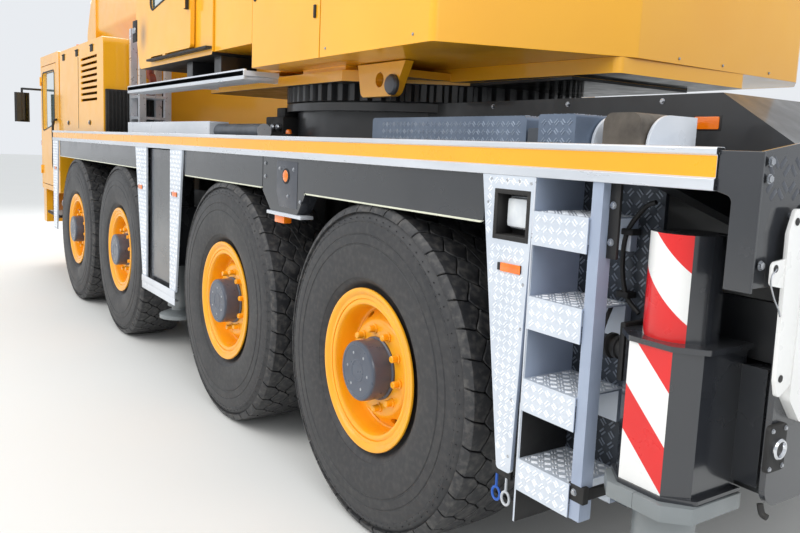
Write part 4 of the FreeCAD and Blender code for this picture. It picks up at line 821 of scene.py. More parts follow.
def road_cab_look(x, y, z, normal):
    """0 paint, 1 black mirrors, handles and steps, 2 amber beacon, 3 lining, 4 mirror glass."""
    if z > 2.7 and x < 7.6:
        return 2 if z > 2.745 else 1
    if y > 1.275:
        return 4 if normal.x < -0.95 and z > 1.7 else 1
    if 8.4 < x < 8.6 and y > 1.15 and z > 2.2 and abs(normal.y) < 0.3:
        return 1
    if z < 1.0:
        return 1
    return 0


def crane_cab_look(x, y, z, normal):
    """0 paint, 1 dark sill and handles."""
    return 1 if z < 2.36 or y > 1.252 else 0


def beam_look(x, y, z, normal):
    """0 dark, 1 bright foot channel of the front cover."""
    return 1 if y > 1.3 and z < 0.662 else 0


tip_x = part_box("boom_slide_3")[1].x - rear_axle_x


def boom_tip_look(x, y, z, normal):
    """0 paint, 1 dark sheaves and pins between the head's cheeks."""
    return 1 if y < 0.18 and x > tip_x - 0.53 else 0


deck_half_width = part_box("deck")[1].y


def deck_look(x, y, z, normal):
    """0 bright lips, 1 the yellow strip between them, 2 the dark deck."""
    if y < deck_half_width - 0.0365:
        return 2
    return 1 if y > deck_half_width - 0.012 and 1.688 < z < 1.748 and abs(normal.y) > 0.9 else 0


# Striped rear outriggers: each stripe's upper edge as height minus x, highest first

STRIPE_EDGES = (3.145, 2.998, 2.855, 2.672, 2.518, 2.383, 2.24)
STRIPE_LOOKS = (1, 1, 2, 1, 2, 1, 2, 2)
casing_top = 1.216
casing_foot = 0.808


def stripe_look(x, y, z, normal):
    """0 dark, 1 red, 2 white. The stripes run over the head's outer half and the casing's outer face."""
    on_head = z > casing_top + 0.016 and abs(normal.z) < 0.5 and normal.x > -0.7 and normal.y * y > 0.05
    on_casing = z < casing_top and y > 1.3695 and abs(normal.y) > 0.95
    if not (on_head or on_casing) or z < casing_foot:
        return 0
    return STRIPE_LOOKS[sum(z - x < edge for edge in STRIPE_EDGES)]


PLAIN = (
    (frame_dark, "chassis_frame"), (hook_red, "hook_block"), (chrome, "luff_rod"),
    (cast, "drivetrain winch_drum"),
    (yellow, "front_bumper engine_housing upper_housings counterweight crane_cab_door boom_base"),
    (yellow, "boom_slide_1 boom_slide_2 luff_barrel road_cab_door_left road_cab_door_right"),
)
skirt_cut = ((0, 0, skirt_edge - 0.003), (0, 0, 1))
stripe_cuts = [((at(-edge), 0, 0), (-1, 0, 1)) for edge in STRIPE_EDGES]
for look, nodes in PLAIN:
    for node in nodes.split():
        dressed(node, [look])
dressed("side_panels", [chequer, blue_grey, dark_chequer, black_matt], ladder_look)
dressed("deck_gear", [light_grey, dark_cover, pale_plate, worn_rubber, grey_box, aluminium, signal_white],
        deck_gear_look)
dressed("road_cab", [yellow, black_matt, amber, seat_cloth, mirror_glass], road_cab_look)
dressed("turntable", [frame_dark, yellow, pale_plate], turntable_look)
dressed("crane_cab", [yellow, black_matt], crane_cab_look)
dressed("boom_slide_3", [yellow, cast], boom_tip_look)
dressed("dark_panels", [dark_gloss, pale_edge], bright_edge, cuts=[skirt_cut])
dressed("deck", [aluminium, strip_yellow, frame_dark], deck_look, 0.0015)
dressed("road_cab_glass", [teal_glass], round_off=0.0)
dressed("crane_cab_glass", [teal_glass], round_off=0.0)
for side_name, _ in SIDES:
    for number in AXLES:
        dressed(f"knuckle_{number}_{side_name}", [cast])
    for end in ("rear", "front"):
        dressed(f"outrigger_leg_{end}_{side_name}", [leg_paint])
    dressed(f"outrigger_beam_front_{side_name}", [dark_gloss, pale_plate], beam_look)
    dressed(f"outrigger_beam_rear_{side_name}", [dark_gloss, signal_red, signal_white], stripe_look, 0.002,
            stripe_cuts)


# Chequer pattern: pairs of short raised bars, each pair turned the other way from its neighbours

def chequer_bars(place, a_range, b_range, pitch=0.028, length=0.021, width=0.0052, height=0.0019, keep=None):
    """Bars over a range of a and b where keep(a, b) is true, put in space by place(a, b, height)."""
    points, faces = [], []
    across, up = (int((high - low) / pitch) for low, high in (a_range, b_range))
    for column in range(across):
        for row in range(up):
            a = a_range[0] + (column + 0.5) * (a_range[1] - a_range[0]) / across
            b = b_range[0] + (row + 0.5) * (b_range[1] - b_range[0]) / up
            if keep and not keep(a, b):
                continue
            turn = radians(45 if (column + row) % 2 else -45)
            along, beside = cos(turn), sin(turn)
            for offset in (-width * 0.95, width * 0.95):
                first = len(points)
                for share, level in ((1.0, 0.0), (0.62, height)):
                    for i, j in ((-1, -1), (1, -1), (1, 1), (-1, 1)):
                        i *= length / 2 - width * 0.4 * (1 - share)
                        j = j * width / 2 * share + offset
                        spot = (a + along * i - beside * j, b + beside * i + along * j, level)
                        points.append(Vector(place(*spot)))
                faces += [[first + n, first + (n + 1) % 4, first + (n + 1) % 4 + 4, first + n + 4]
                          for n in range(4)]
                faces.append([first + 4, first + 5, first + 6, first + 7])
    return points, faces


def between(low, high, margin):
    """True where a lies between two lines, each through two (a, b) points, with a margin."""
    def line(points, b):
        (a0, b0), (a1, b1) = points
        return a0 + (a1 - a0) * (b - b0) / (b1 - b0)
    return lambda a, b: line(low, b) + margin < a < line(high, b) - margin


panel_face = 1.373
deck_top = 1.7503
tail_x = -1.77
cover_x = -1.7642
TREAD_TOPS = (1.548, 1.269, 0.99, 0.711)
# Upright bright sheets: x range, then the lines at their rear and front edges
SHEETS = (
    ((3.23, 3.53), ((3.23, 0.64), (3.23, 1.656)), ((3.33, 0.64), (3.53, 1.656))),
    ((2.4, 2.66), ((2.53, 0.64), (2.4, 1.656)), ((2.66, 0.64), (2.66, 1.656))),
    ((6.6, 6.9), ((6.72, 0.64), (6.6, 1.656)), ((6.9, 0.64), (6.9, 1.656))),
)


def chequered_sheets():
    piece = Piece("chequer_on_sheets", mirrored=True)
    panel = between(((-0.979, 0.64), (-1.012, 1.656)), ((-0.909, 0.64), (-0.753, 1.656)), 0.013)

    def clear_of_lamps(a, b):
        in_lamp = -1.0 < a < -0.815 and 1.425 < b < 1.62
        in_marker = -0.985 < a < -0.845 and 1.322 < b < 1.368
        return panel(a, b) and not in_lamp and not in_marker

    upright = side_place(panel_face)
    piece.add(chequer_bars(upright, (-1.013, -0.753), (0.65, 1.65), keep=clear_of_lamps), chequer_bar_painted_highlight)
    for x_range, rear_line, front_line in SHEETS:
        inside = between(rear_line, front_line, 0.014)
        piece.add(chequer_bars(upright, x_range, (0.65, 1.65), 0.03, keep=inside), chequer_bar_painted_highlight)
    for top in TREAD_TOPS:
        for place, b_range in ((upright, (top - 0.104, top - 0.004)), (top_place(top), (1.15, 1.362))):
            piece.add(chequer_bars(place, (-1.24, -1.018), b_range), chequer_bar_painted_highlight)
    piece.done()


def dark_chequers():
    piece = Piece("chequer_on_dark_sheets", mirrored=True)
    piece.add(chequer_bars(side_place(1.1435), (-1.335, -1.005), (0.66, 1.64), 0.034, 0.024, 0.006, 0.0015,
                           lambda a, b: a > -1.24 or b > 1.27), dark_bar_painted_highlight)
    for place, a_range, b_range in ((top_place(1.878), (-0.545, 0.49), (0.775, 0.985)),
                                    (top_place(1.874), (-0.918, -0.762), (0.832, 1.108)),
                                    (side_place(1.0), (-0.53, 0.48), (1.762, 1.862)),
                                    (side_place(1.12), (-0.918, -0.762), (1.762, 1.862))):
        piece.add(chequer_bars(place, a_range, b_range, 0.03), cover_bar_painted_highlight)
    piece.done()


chequered_sheets()
dark_chequers()


# Lamps, markers and small fittings

def lamp_in_panel():
    """Recessed working lamp in the ladder's panel: black frame, dark box, white glass, for both sides."""
    piece = Piece("panel_lamps", mirrored=True)
    x0, x1, z0, z1 = -0.983, -0.833, 1.45, 1.597
    lip, face = 0.004, panel_face
    for rim, back, front, round_off in ((0.013, 0.01, -0.0015, 0.003), (0.0, 0.08, 0.008, 0.001)):
        wide = (x0 - rim, x1 + rim)
        for x, z in ((wide, (z0 - rim, z0 + lip)), (wide, (z1 - lip, z1 + rim)),
                     ((x0 - rim, x0 + lip), (z0, z1)), ((x1 - lip, x1 + rim), (z0, z1))):
            piece.box(x, (face - back, face - front), z, black_matt, round_off)
    piece.box((x0, x1), (face - 0.085, face - 0.075), (z0, z1), black_matt, 0.002)
    piece.box((x0 + 0.028, x1 - 0.018), (face - 0.076, face - 0.03), (z0 + 0.03, z1 - 0.016), lamp_white,
              0.014)
    piece.box((x0 + 0.022, x1 - 0.012), (face - 0.077, face - 0.05), (z0 + 0.024, z1 - 0.01), aluminium, 0.01)
    piece.done()


def markers():
    """Amber side markers with dark ends, round lamps, and what they are screwed to."""
    piece = Piece("side_markers", mirrored=True)
    y = panel_face
    for x0, x1, z in ((-0.972, -0.858, 1.346), (2.5, 2.62, 1.343), (3.33, 3.45, 1.343), (6.7, 6.82, 1.343)):
        piece.box((x0, x1 - 0.016), (y - 0.001, y + 0.0055), about(z, 0.015), amber, 0.0015)
        piece.box((x1 - 0.018, x1), (y - 0.001, y + 0.0045), about(z, 0.013), black_matt, 0.001)
        piece.box((x0 + 0.006, x0), (y - 0.001, y + 0.0045), about(z, 0.0155), black_matt, 0.001)
    piece.box((0.865, 0.98), (1.3, 1.346), (1.31, 1.35), amber, 0.005)
    piece.box((0.861, 0.985), (1.296, 1.35), (1.348, 1.371), aluminium, 0.002)
    bracket = 1.355
    piece.add(plate([(0.7, 1.4), (0.9, 1.4), (0.94, 1.48), (0.94, 1.64), (0.7, 1.64)], side_place(bracket),
                    0.002, 0.0005), dark_plate)
    lens = turned([(0, 0), (0, 0.034), (0.003, 0.034), (0.006, 0.03), (0.01, 0.022), (0.012, 0)], 24)
    ring = turned([(0, 0.03), (0, 0.04), (0.004, 0.04), (0.006, 0.036), (0.006, 0.031)], 24)
    for shape, look in ((lens, amber), (ring, black_matt)):
        piece.put(shape, (0.827, bracket + 0.0015, 1.563), (0, 1, 0), look)
    piece.box((0.64, 1.04), (1.29, 1.366), (1.352, 1.371), aluminium, 0.004)
    bolt = bolt_head(0.009, 0.007)
    for x, z in ((0.74, 1.6), (0.9, 1.6), (0.8, 1.46), (0.66, 1.44), (1.08, 1.55), (1.08, 1.62)):
        piece.put(bolt, (x, bracket + 0.0015, z), (0, 1, 0), zinc)
    piece.done()


def ladder_fittings():
    """Screws, the rear rail's black plate, silver bolts, foot bracket, and the mudflap's hooks."""
    piece = Piece("ladder_fittings", mirrored=True)
    screw = turned([(0, 0), (0, 0.006), (0.0012, 0.0055), (0.0022, 0.003), (0.0024, 0)], 12)
    for x, z in ((-0.995, 1.635), (-0.94, 1.64), (-0.88, 1.64), (-0.8, 1.64), (-0.79, 1.56),
                 (-0.985, 1.3), (-0.985, 1.15), (-0.965, 0.9), (-0.965, 0.7)):
        piece.put(screw, (x, panel_face, z), (0, 1, 0), zinc)
    piece.box((-1.325, -1.284), (1.322, 1.334), (1.43, 1.656), black_matt, 0.003)
    bolt = bolt_head(0.01, 0.008)
    for x, y, z in ((-1.303, 1.334, 1.59), (-1.303, 1.334, 1.48), (-1.262, 1.365, 0.69)):
        piece.put(bolt, (x, y, z), (0, 1, 0), zinc)
    piece.box((-1.3, -1.236), (1.34, 1.366), (0.66, 0.716), black_matt, 0.004)
    piece.box((-1.3, -1.284), (1.24, 1.345), (0.672, 0.706), black_matt, 0.003)
    # A pressed fold runs down the panel beside the treads
    fold_x, fold_y = at(-1.012), panel_face - 0.001
    piece.add(rod((fold_x, fold_y, 0.7), (fold_x, fold_y, 1.655), 0.0028, 8, 0.001), aluminium)
    for x, look in ((-0.87, blue_plastic), (-0.92, light_grey)):
        turns = [pi * step / 8 for step in range(17)]
        loop = [(at(x) + 0.02 * cos(turn), 1.33, 0.52 + 0.024 * sin(turn)) for turn in turns]
        piece.add(tube(loop, 0.005, 8), look)
        piece.add(rod((at(x), 1.33, 0.54), (at(x), 1.33, 0.6), 0.005, 8, 0.001), look)
    piece.box((-0.945, -0.845), (1.322, 1.336), (0.596, 0.64), black_matt, 0.003)
    piece.done()


def cover_boxes():
    """Bright step box on each front outrigger cover, folded along its middle."""
    for side_name, side in SIDES:
        piece = Piece(f"cover_step_{side_name}", body_of_node(f"outrigger_beam_front_{side_name}"))
        for low, high, reach in ((0.602, 0.652, 1.3815), (0.547, 0.6, 1.379)):
            corner, other = (at(2.532), side * 1.3735, low), (at(3.328), side * reach, high)
            piece.add(block([min(pair) for pair in zip(corner, other)],
                            [max(pair) for pair in zip(corner, other)], 0.0015), pale_plate)
        piece.done()


def casing_collars():
    """Thick grey collar round the foot of each rear casing, open in the middle for the leg."""
    half, inward, cut, hole = 0.154, 0.13, 0.062, 0.096
    for side_name, side in SIDES:
        piece = Piece(f"casing_collar_{side_name}", body_of_node(f"outrigger_beam_rear_{side_name}"))
        leg_x, leg_y, _ = middle(f"outrigger_leg_rear_{side_name}")
        for turn in (1, -1):
            outer = [(turn * a, b) for a, b in ((0.0, -inward), (half, -inward), (half, half - cut),
                                                (half - cut, half), (0.0, half))]
            inner = [(turn * hole * sin(radians(angle)), hole * cos(radians(angle)))
                     for angle in range(0, 181, 15)]
            piece.add(plate(outer + inner, lambda a, b, h: (leg_x + a, leg_y + side * b, 0.744 + h),
                            0.048, 0.003), leg_paint)
        piece.done()


def door_handle():
    """Black recessed handle with a bright lever near the front edge of the crane cab's door."""
    piece = Piece("crane_door_handle", body_of_node("crane_cab_door"))
    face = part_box("crane_cab_door")[1].y
    x, z = 3.725, 2.58
    piece.box(about(x, 0.055), (face - 0.004, face + 0.006), about(z, 0.085), black_matt, 0.004)
    piece.box(about(x, 0.042), (face + 0.004, face + 0.016), (z - 0.02, z + 0.026), zinc, 0.006)
    piece.done()


lamp_in_panel()
markers()
ladder_fittings()
door_handle()
cover_boxes()
casing_collars()


# Soft parts and interiors

def cushion(size, crown=0.5, channels=()):
    """Pad lying flat: crowned, its sides pulled in between the corners, sewn channels across it."""
    mesh = bmesh.new()
    bmesh.ops.create_cube(mesh, size=2.0)
    bmesh.ops.subdivide_edges(mesh, edges=mesh.edges[:], cuts=17, use_grid_fill=True)
    for vert in mesh.verts:
        u, v, w = vert.co
        edge = max(abs(u), abs(v))
        sewn = sum(exp(-((v - channel) / 0.045) ** 2) for channel in channels)
        height = w * (1 - crown * edge ** 7) * (1 - 0.16 * sewn * (1 - edge ** 4)) if w > 0 else w * 0.92
        pull = 1 - 0.035 * (1 - min(abs(u), abs(v)) ** 2) * edge ** 6
        vert.co = Vector((u * pull * (1 - 0.05 * v ** 6) * size[0], v * pull * (1 - 0.05 * u ** 6) * size[1],
                          height * size[2]))
    return shape_of(mesh)


crane_cab_y = 0.8375
road_seat_y = 0.72


def padded_seat(name, body, seat_x, seat_y, floor_z, half_width, back_top):
    """Seat cushion, back cushion and headrest of a vehicle seat, facing forward."""
    for ending, size, place, lean, channels in (
            ("cushion", (0.255, half_width - 0.012, 0.056), (seat_x + 0.215, floor_z + 0.32), 0.0,
             (-0.5, 0.5)),
            ("back", (0.3, half_width - 0.016, 0.05), (seat_x - 0.02, floor_z + 0.69), -1.4, (-0.4, 0.4)),
            ("headrest", (0.08, half_width * 0.55, 0.036), (seat_x - 0.062, back_top - 0.086), -1.45, ())):
        piece = Piece(f"{name}_{ending}", body)
        turn = Matrix.Rotation(lean, 4, "Y")
        shift = Matrix.Translation(Vector((at(place[0]), seat_y, place[1])))
        piece.add(moved(cushion(size, channels=channels), shift @ turn), seat_cloth)
        piece.done(sharp=60)


def seat_bases():
    """Boxes, shells and arm rests that the cushions lie on."""
    piece = Piece("road_cab_seat_bases")
    for side in (1, -1):
        y = road_seat_y * side
        piece.box((7.5, 7.84), about(y, 0.17), (1.071, 1.325), black_matt, 0.015)
        piece.box((7.43, 7.94), about(y, 0.225), (1.325, 1.348), black_matt, 0.01)
    piece.done()
    piece = Piece("operator_seat_base", "superstructure")
    y = crane_cab_y
    piece.box((2.575, 2.945), about(y, 0.165), (2.3305, 2.605), black_matt, 0.015)
    piece.box((2.49, 3.02), about(y, 0.215), (2.602, 2.626), black_matt, 0.01)
    for inner in (-0.298, 0.232):
        piece.box((2.645, 2.975), (y + inner, y + inner + 0.066), (2.83, 2.888), black_matt, 0.022)
        piece.box((2.65, 2.7), (y + inner + 0.01, y + inner + 0.056), (2.632, 2.834), dark_gloss, 0.01)
        stick = (at(2.94), y + inner + 0.033, 2.885)
        piece.add(rod(stick, (at(2.955), y + inner + 0.033, 3.01), 0.008, 12), black_matt)
        piece.put(turned([(0, 0), (0, 0.014), (0.02, 0.021), (0.045, 0.019), (0.055, 0.008), (0.056, 0)], 16),
                  (2.955, y + inner + 0.033, 2.99), (0, 0, 1), black_matt)
    piece.box((2.6, 2.72), about(y, 0.298), (2.622, 2.656), dark_gloss, 0.006)
    piece.done("crane_cab_seat")


seat_bases()
padded_seat("driver_seat", "root", 7.48, road_seat_y, 1.07, 0.24, 2.07)
padded_seat("passenger_seat", "root", 7.48, -road_seat_y, 1.07, 0.24, 2.07)
padded_seat("operator_seat", "superstructure", 2.56, crane_cab_y, 2.33, 0.23, 3.41)
dressed("road_cab_interior", [black_matt], keep=lambda centre: centre.x > at(8.0))


# Windows: rubber beads, the doors' panes and wipers

def rounded_corners(corners, radius, steps=5):
    """Outline with its corners rounded, as (a, b) points."""
    result = []
    count = len(corners)
    for number in range(count):
        corner = Vector(corners[number])
        before = (Vector(corners[number - 1]) - corner).normalized()
        after = (Vector(corners[(number + 1) % count]) - corner).normalized()
        half = before.angle(after) / 2
        reach = radius / tan(half)
        centre = corner + (before + after).normalized() * (radius / sin(half))
        first, last = corner + before * reach - centre, corner + after * reach - centre
        for step in range(steps + 1):
            point = first.lerp(last, step / steps)
            result.append(tuple(centre + point.normalized() * radius))
    return result


def box_corners(width, height, a, b):
    return [(a - width / 2, b - height / 2), (a + width / 2, b - height / 2),
            (a + width / 2, b + height / 2), (a - width / 2, b + height / 2)]


def bead(piece, corners, rounding, place, radius=0.009):
    """Rubber bead along an outline."""
    path = [Vector(place(a, b, 0.0)) for a, b in rounded_corners(corners, rounding)]
    path.append(path[0] * 0.999 + path[1] * 0.001)
    piece.add(tube(path, radius, 8), hose_rubber)


def pane(piece, corners, rounding, place, thickness=0.005):
    """Glass pane with the outline, from place(a, b, 0) to place(a, b, thickness)."""
    outline = rounded_corners(corners, rounding)
    count = len(outline)
    points = [Vector(place(a, b, height)) for height in (0.0, thickness) for a, b in outline]
    faces = [list(range(count))[::-1], list(range(count, 2 * count))]
    faces += [[n, (n + 1) % count, count + (n + 1) % count, count + n] for n in range(count)]
    piece.add((points, faces), teal_glass)


# Windows of the doors and of the crane cab's right side as (x, z), then the leaning screens
DOOR_WINDOW = ((7.423, 1.85), (8.187, 1.76), (8.187, 2.497), (7.423, 2.497))
CRANE_DOOR_WINDOW = ((2.58, 2.82), (3.41, 2.7), (3.41, 3.59), (2.58, 3.59))
RIGHT_WINDOW = ((2.5, 3.0), (3.61, 2.9), (3.61, 3.6), (2.5, 3.6))
screen_place = slope_place(8.751, 1.76, -0.3404)
crane_screen_place = slope_place(3.952, 2.62, -0.114)
crane_knee_place = slope_place(3.832, 2.29, 0.3636)


def on_screen(place, y, z, out, up=0.0):
    """Point in front of a leaning screen."""
    return Vector(place(y, z)) + Vector((out, 0, up))


def windows():
    lock = turned([(0, 0), (0, 0.011), (0.003, 0.011), (0.005, 0.008), (0.005, 0)], 16)
    for side_name, side in SIDES:
        piece = Piece(f"road_door_window_{side_name}", f"cab_door_{side_name}")
        pane(piece, DOOR_WINDOW, 0.055, side_place(1.222, side))
        bead(piece, DOOR_WINDOW, 0.06, side_place(1.2475, side))
        piece.put(lock, (7.56, side * 1.25, 1.655), (0, side, 0), zinc)
        piece.box((7.405, 7.535), about(side * 1.262, 0.008), (1.683, 1.707), black_matt, 0.007)
        piece.done()
    piece = Piece("road_cab_beads")
    bead(piece, box_corners(1.98, 0.76, 0, 2.175), 0.09, screen_place, 0.011)
    bead(piece, box_corners(1.3, 0.48, 0, 2.3), 0.06, end_place(7.1485))
    # Wipers lie along the screen's foot
    for y in (-0.52, 0.36):
        foot, elbow = (on_screen(screen_place, y + a, z, 0.018, 0.006) for a, z in ((0, 1.735), (0.3, 1.86)))
        blade = [on_screen(screen_place, y + a, z, 0.01, 0.004) for a, z in ((-0.04, 1.842), (0.56, 1.905))]
        piece.add(rod(foot, elbow, 0.007, 10), black_matt)
        piece.add(rod(*blade, 0.008, 10), black_matt)
        piece.add(rod(foot - Vector((0.03, 0, 0.01)), foot + Vector((0.01, 0, 0.004)), 0.018, 16), black_matt)
    piece.done()
    piece = Piece("crane_door_window", "crane_door")
    pane(piece, CRANE_DOOR_WINDOW, 0.055, side_place(1.268))
    bead(piece, CRANE_DOOR_WINDOW, 0.06, side_place(1.2855), 0.008)
    piece.box((2.528, 2.564), (1.286, 1.316), (2.615, 2.765), black_matt, 0.008)
    piece.done()
    piece = Piece("crane_cab_beads", "superstructure")
    bead(piece, box_corners(0.69, 0.88, crane_cab_y, 3.11), 0.06, crane_screen_place)
    bead(piece, box_corners(0.6, 0.15, crane_cab_y, 2.49), 0.03, crane_knee_place, 0.008)
    bead(piece, box_corners(0.56, 0.52, crane_cab_y, 3.33), 0.06, end_place(2.1785), 0.008)
    bead(piece, RIGHT_WINDOW, 0.06, side_place(0.4245), 0.008)
    for out, ends in ((0.02, ((0.6, 3.6), (0.8, 3.2))), (0.012, ((0.8, 3.44), (0.8, 2.9)))):
        piece.add(rod(*(on_screen(crane_screen_place, y, z, out) for y, z in ends), 0.007, 10), black_matt)
    lamp = turned([(0, 0), (0, 0.05), (0.03, 0.068), (0.062, 0.072), (0.066, 0.066), (0.07, 0.03),
                   (0.071, 0)], 28)
    glow = turned([(0.0705, 0), (0.0705, 0.06), (0.0735, 0.052), (0.0745, 0)], 28)
    for y in (0.56, 1.12):
        for shape, look in ((lamp, black_matt), (glow, lamp_white)):
            piece.put(shape, (3.74, y, 3.7), (1, 0, -0.35), look)
    piece.done()


windows()


# Front of the road cab

def front_fittings():
    """Headlamps in their pockets, grille, indicators, grab rails and step treads."""
    piece = Piece("front_fittings")
    lens = turned([(0, 0), (0, 0.07), (0.008, 0.071), (0.022, 0.062), (0.034, 0.04), (0.039, 0)], 40)
    ring = turned([(0, 0.07), (0, 0.0745), (0.03, 0.0745), (0.032, 0.072), (0.01, 0.07)], 40)
    for y in (0.88, -0.88):
        piece.put(lens, (8.603, y, 0.78), (1, 0, 0), lamp_white)
        piece.put(ring, (8.64, y, 0.78), (1, 0, 0), chrome)
    piece.box((8.742, 8.756), (-0.78, 0.78), (1.13, 1.52), black_matt, 0.006)
    for number in range(7):
        z = 1.165 + 0.053 * number
        piece.add(plate([(8.752, z), (8.774, z + 0.01), (8.774, z + 0.018), (8.752, z + 0.012)],
                        side_place(-0.75), 1.5, 0.002), dark_gloss)
    for side in (1, -1):
        piece.box((8.55, 8.68), about(side * 1.145, 0.055), (1.56, 1.64), amber, 0.02)
        grab = smooth_path([(x, side * y, z) for x, y, z in (
            (7.29, 1.248, 1.3), (7.27, 1.3, 1.34), (7.27, 1.3, 1.6), (7.27, 1.3, 1.86), (7.29, 1.248, 1.9))])
        piece.add(tube(grab, 0.014, 14), black_matt)
    for number in range(12):
        x = 7.43 + 0.06 * number
        piece.box((x, x + 0.012), (0.94, 1.205), (0.7295, 0.736), aluminium, 0.002, True)
    piece.done()


def hood_fittings():
    """Radiator screen on the hood's rear, latches and hinges on its sides."""
    piece = Piece("hood_fittings")
    piece.box((5.006, 5.05), (0.62, 1.235), (1.762, 2.18), black_matt, 0.004)
    for number in range(17):
        y = 0.645 + 0.035 * number
        piece.box((4.988, 5.01), (y, y + 0.014), (1.775, 2.168), black_matt)
    latch = turned([(0, 0), (0, 0.026), (0.004, 0.026), (0.007, 0.02), (0.007, 0)], 20)
    for side in (1, -1):
        for x in (5.6, 6.62):
            piece.put(latch, (x, side * 1.25, 1.86), (0, side, 0), black_matt)
            piece.box(about(x, 0.004), about(side * 1.26, 0.008), about(1.86, 0.018), zinc, 0.002)
        for x in (5.45, 6.12, 6.8):
            y = side * 1.256
            piece.box((x, x + 0.11), about(side * 1.252, 0.005), (2.565, 2.625), black_matt, 0.004)
            piece.add(rod((at(x), y, 2.628), (at(x + 0.11), y, 2.628), 0.008, 12), black_matt)
        piece.box(about(6.121, 0.003), about(side * 1.2505, 0.002), (1.8, 2.55), hose_rubber, 0.001)
    piece.done()


front_fittings()
hood_fittings()


# Upper carriage

upper_y = 1.25


def upper_fittings():
    """Bolts, hinge, lock and boss on the upper carriage, and the ribs of its step platform."""
    piece = Piece("upper_fittings", "superstructure")
    bolt = bolt_head(0.006, 0.005)
    for x, z in ((0.64, 2.206), (-0.113, 2.204)):
        piece.put(bolt, (x, upper_y, z), (0, 1, 0), zinc, True)
    for low, high in ((2.365, 2.43), (2.745, 2.81)):
        piece.box((0.745, 0.762), (upper_y - 0.002, upper_y + 0.01), (low, high), black_matt)
    lock = turned([(0, 0), (0, 0.02), (0.004, 0.02), (0.006, 0.014), (0.006, 0)], 20)
    piece.put(lock, (1.5, upper_y, 2.56), (0, 1, 0), black_matt)
    # Bolts along the foot of the tail, between its corners
    (x0, y0), (x1, y1) = (-0.53, 0.334), (-0.5, -1.0)
    outward = Vector((y1 - y0, x0 - x1, 0)).normalized()
    for share in (0.22, 0.48, 0.79):
        spot = Vector((at(x0 + (x1 - x0) * share), y0 + (y1 - y0) * share, 2.19)) + outward * 0.001
        piece.add(aimed(bolt, spot, outward), zinc)
    boss = turned([(0, 0), (0, 0.052), (0.016, 0.052), (0.026, 0.044), (0.03, 0.03), (0.03, 0)], 28)
    piece.put(boss, (0.47, 0.9495, 2.045), (0, 1, 0), dark_plate)
    for number in range(64):
        x = 1.585 + 0.0388 * number
        piece.add(plate([(1.075, 2.1195), (1.285, 2.1195), (1.279, 2.1), (1.085, 2.1)], end_place(x),
                        0.006, 0.001), pale_plate)
        piece.add(plate([(x, 2.15), (x + 0.026, 2.15), (x + 0.013, 2.16)], side_place(1.262), 0.02, 0.001),
                  aluminium)
    piece.box((1.565, 4.055), (1.268, 1.29), (2.098, 2.16), aluminium, 0.004)
    piece.done()


def winch_rope():
    """Rope wound in neat turns on the winch's barrel."""
    piece = Piece("winch_rope", "winch")
    rope_radius, barrel = 0.0105, 0.152
    low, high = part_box("winch_drum")
    centre = Vector(((low.x + high.x) / 2, 0, (low.z + high.z) / 2))
    turns = int(0.52 / (2 * rope_radius)) - 1
    for layer in range(2):
        path = []
        radius = barrel + rope_radius + layer * rope_radius * 1.8
        span = turns * 2 * rope_radius
        for step in range(turns * 20 + 1):
            angle = 2 * pi * step / 20
            y = -span / 2 + span * step / (turns * 20)
            path.append((centre.x + radius * cos(angle), y if layer == 0 else -y,
                         centre.z + radius * sin(angle)))
        piece.add(tube(path, rope_radius, 7), rope_steel)
    piece.done()


upper_fittings()
winch_rope()


# Tail

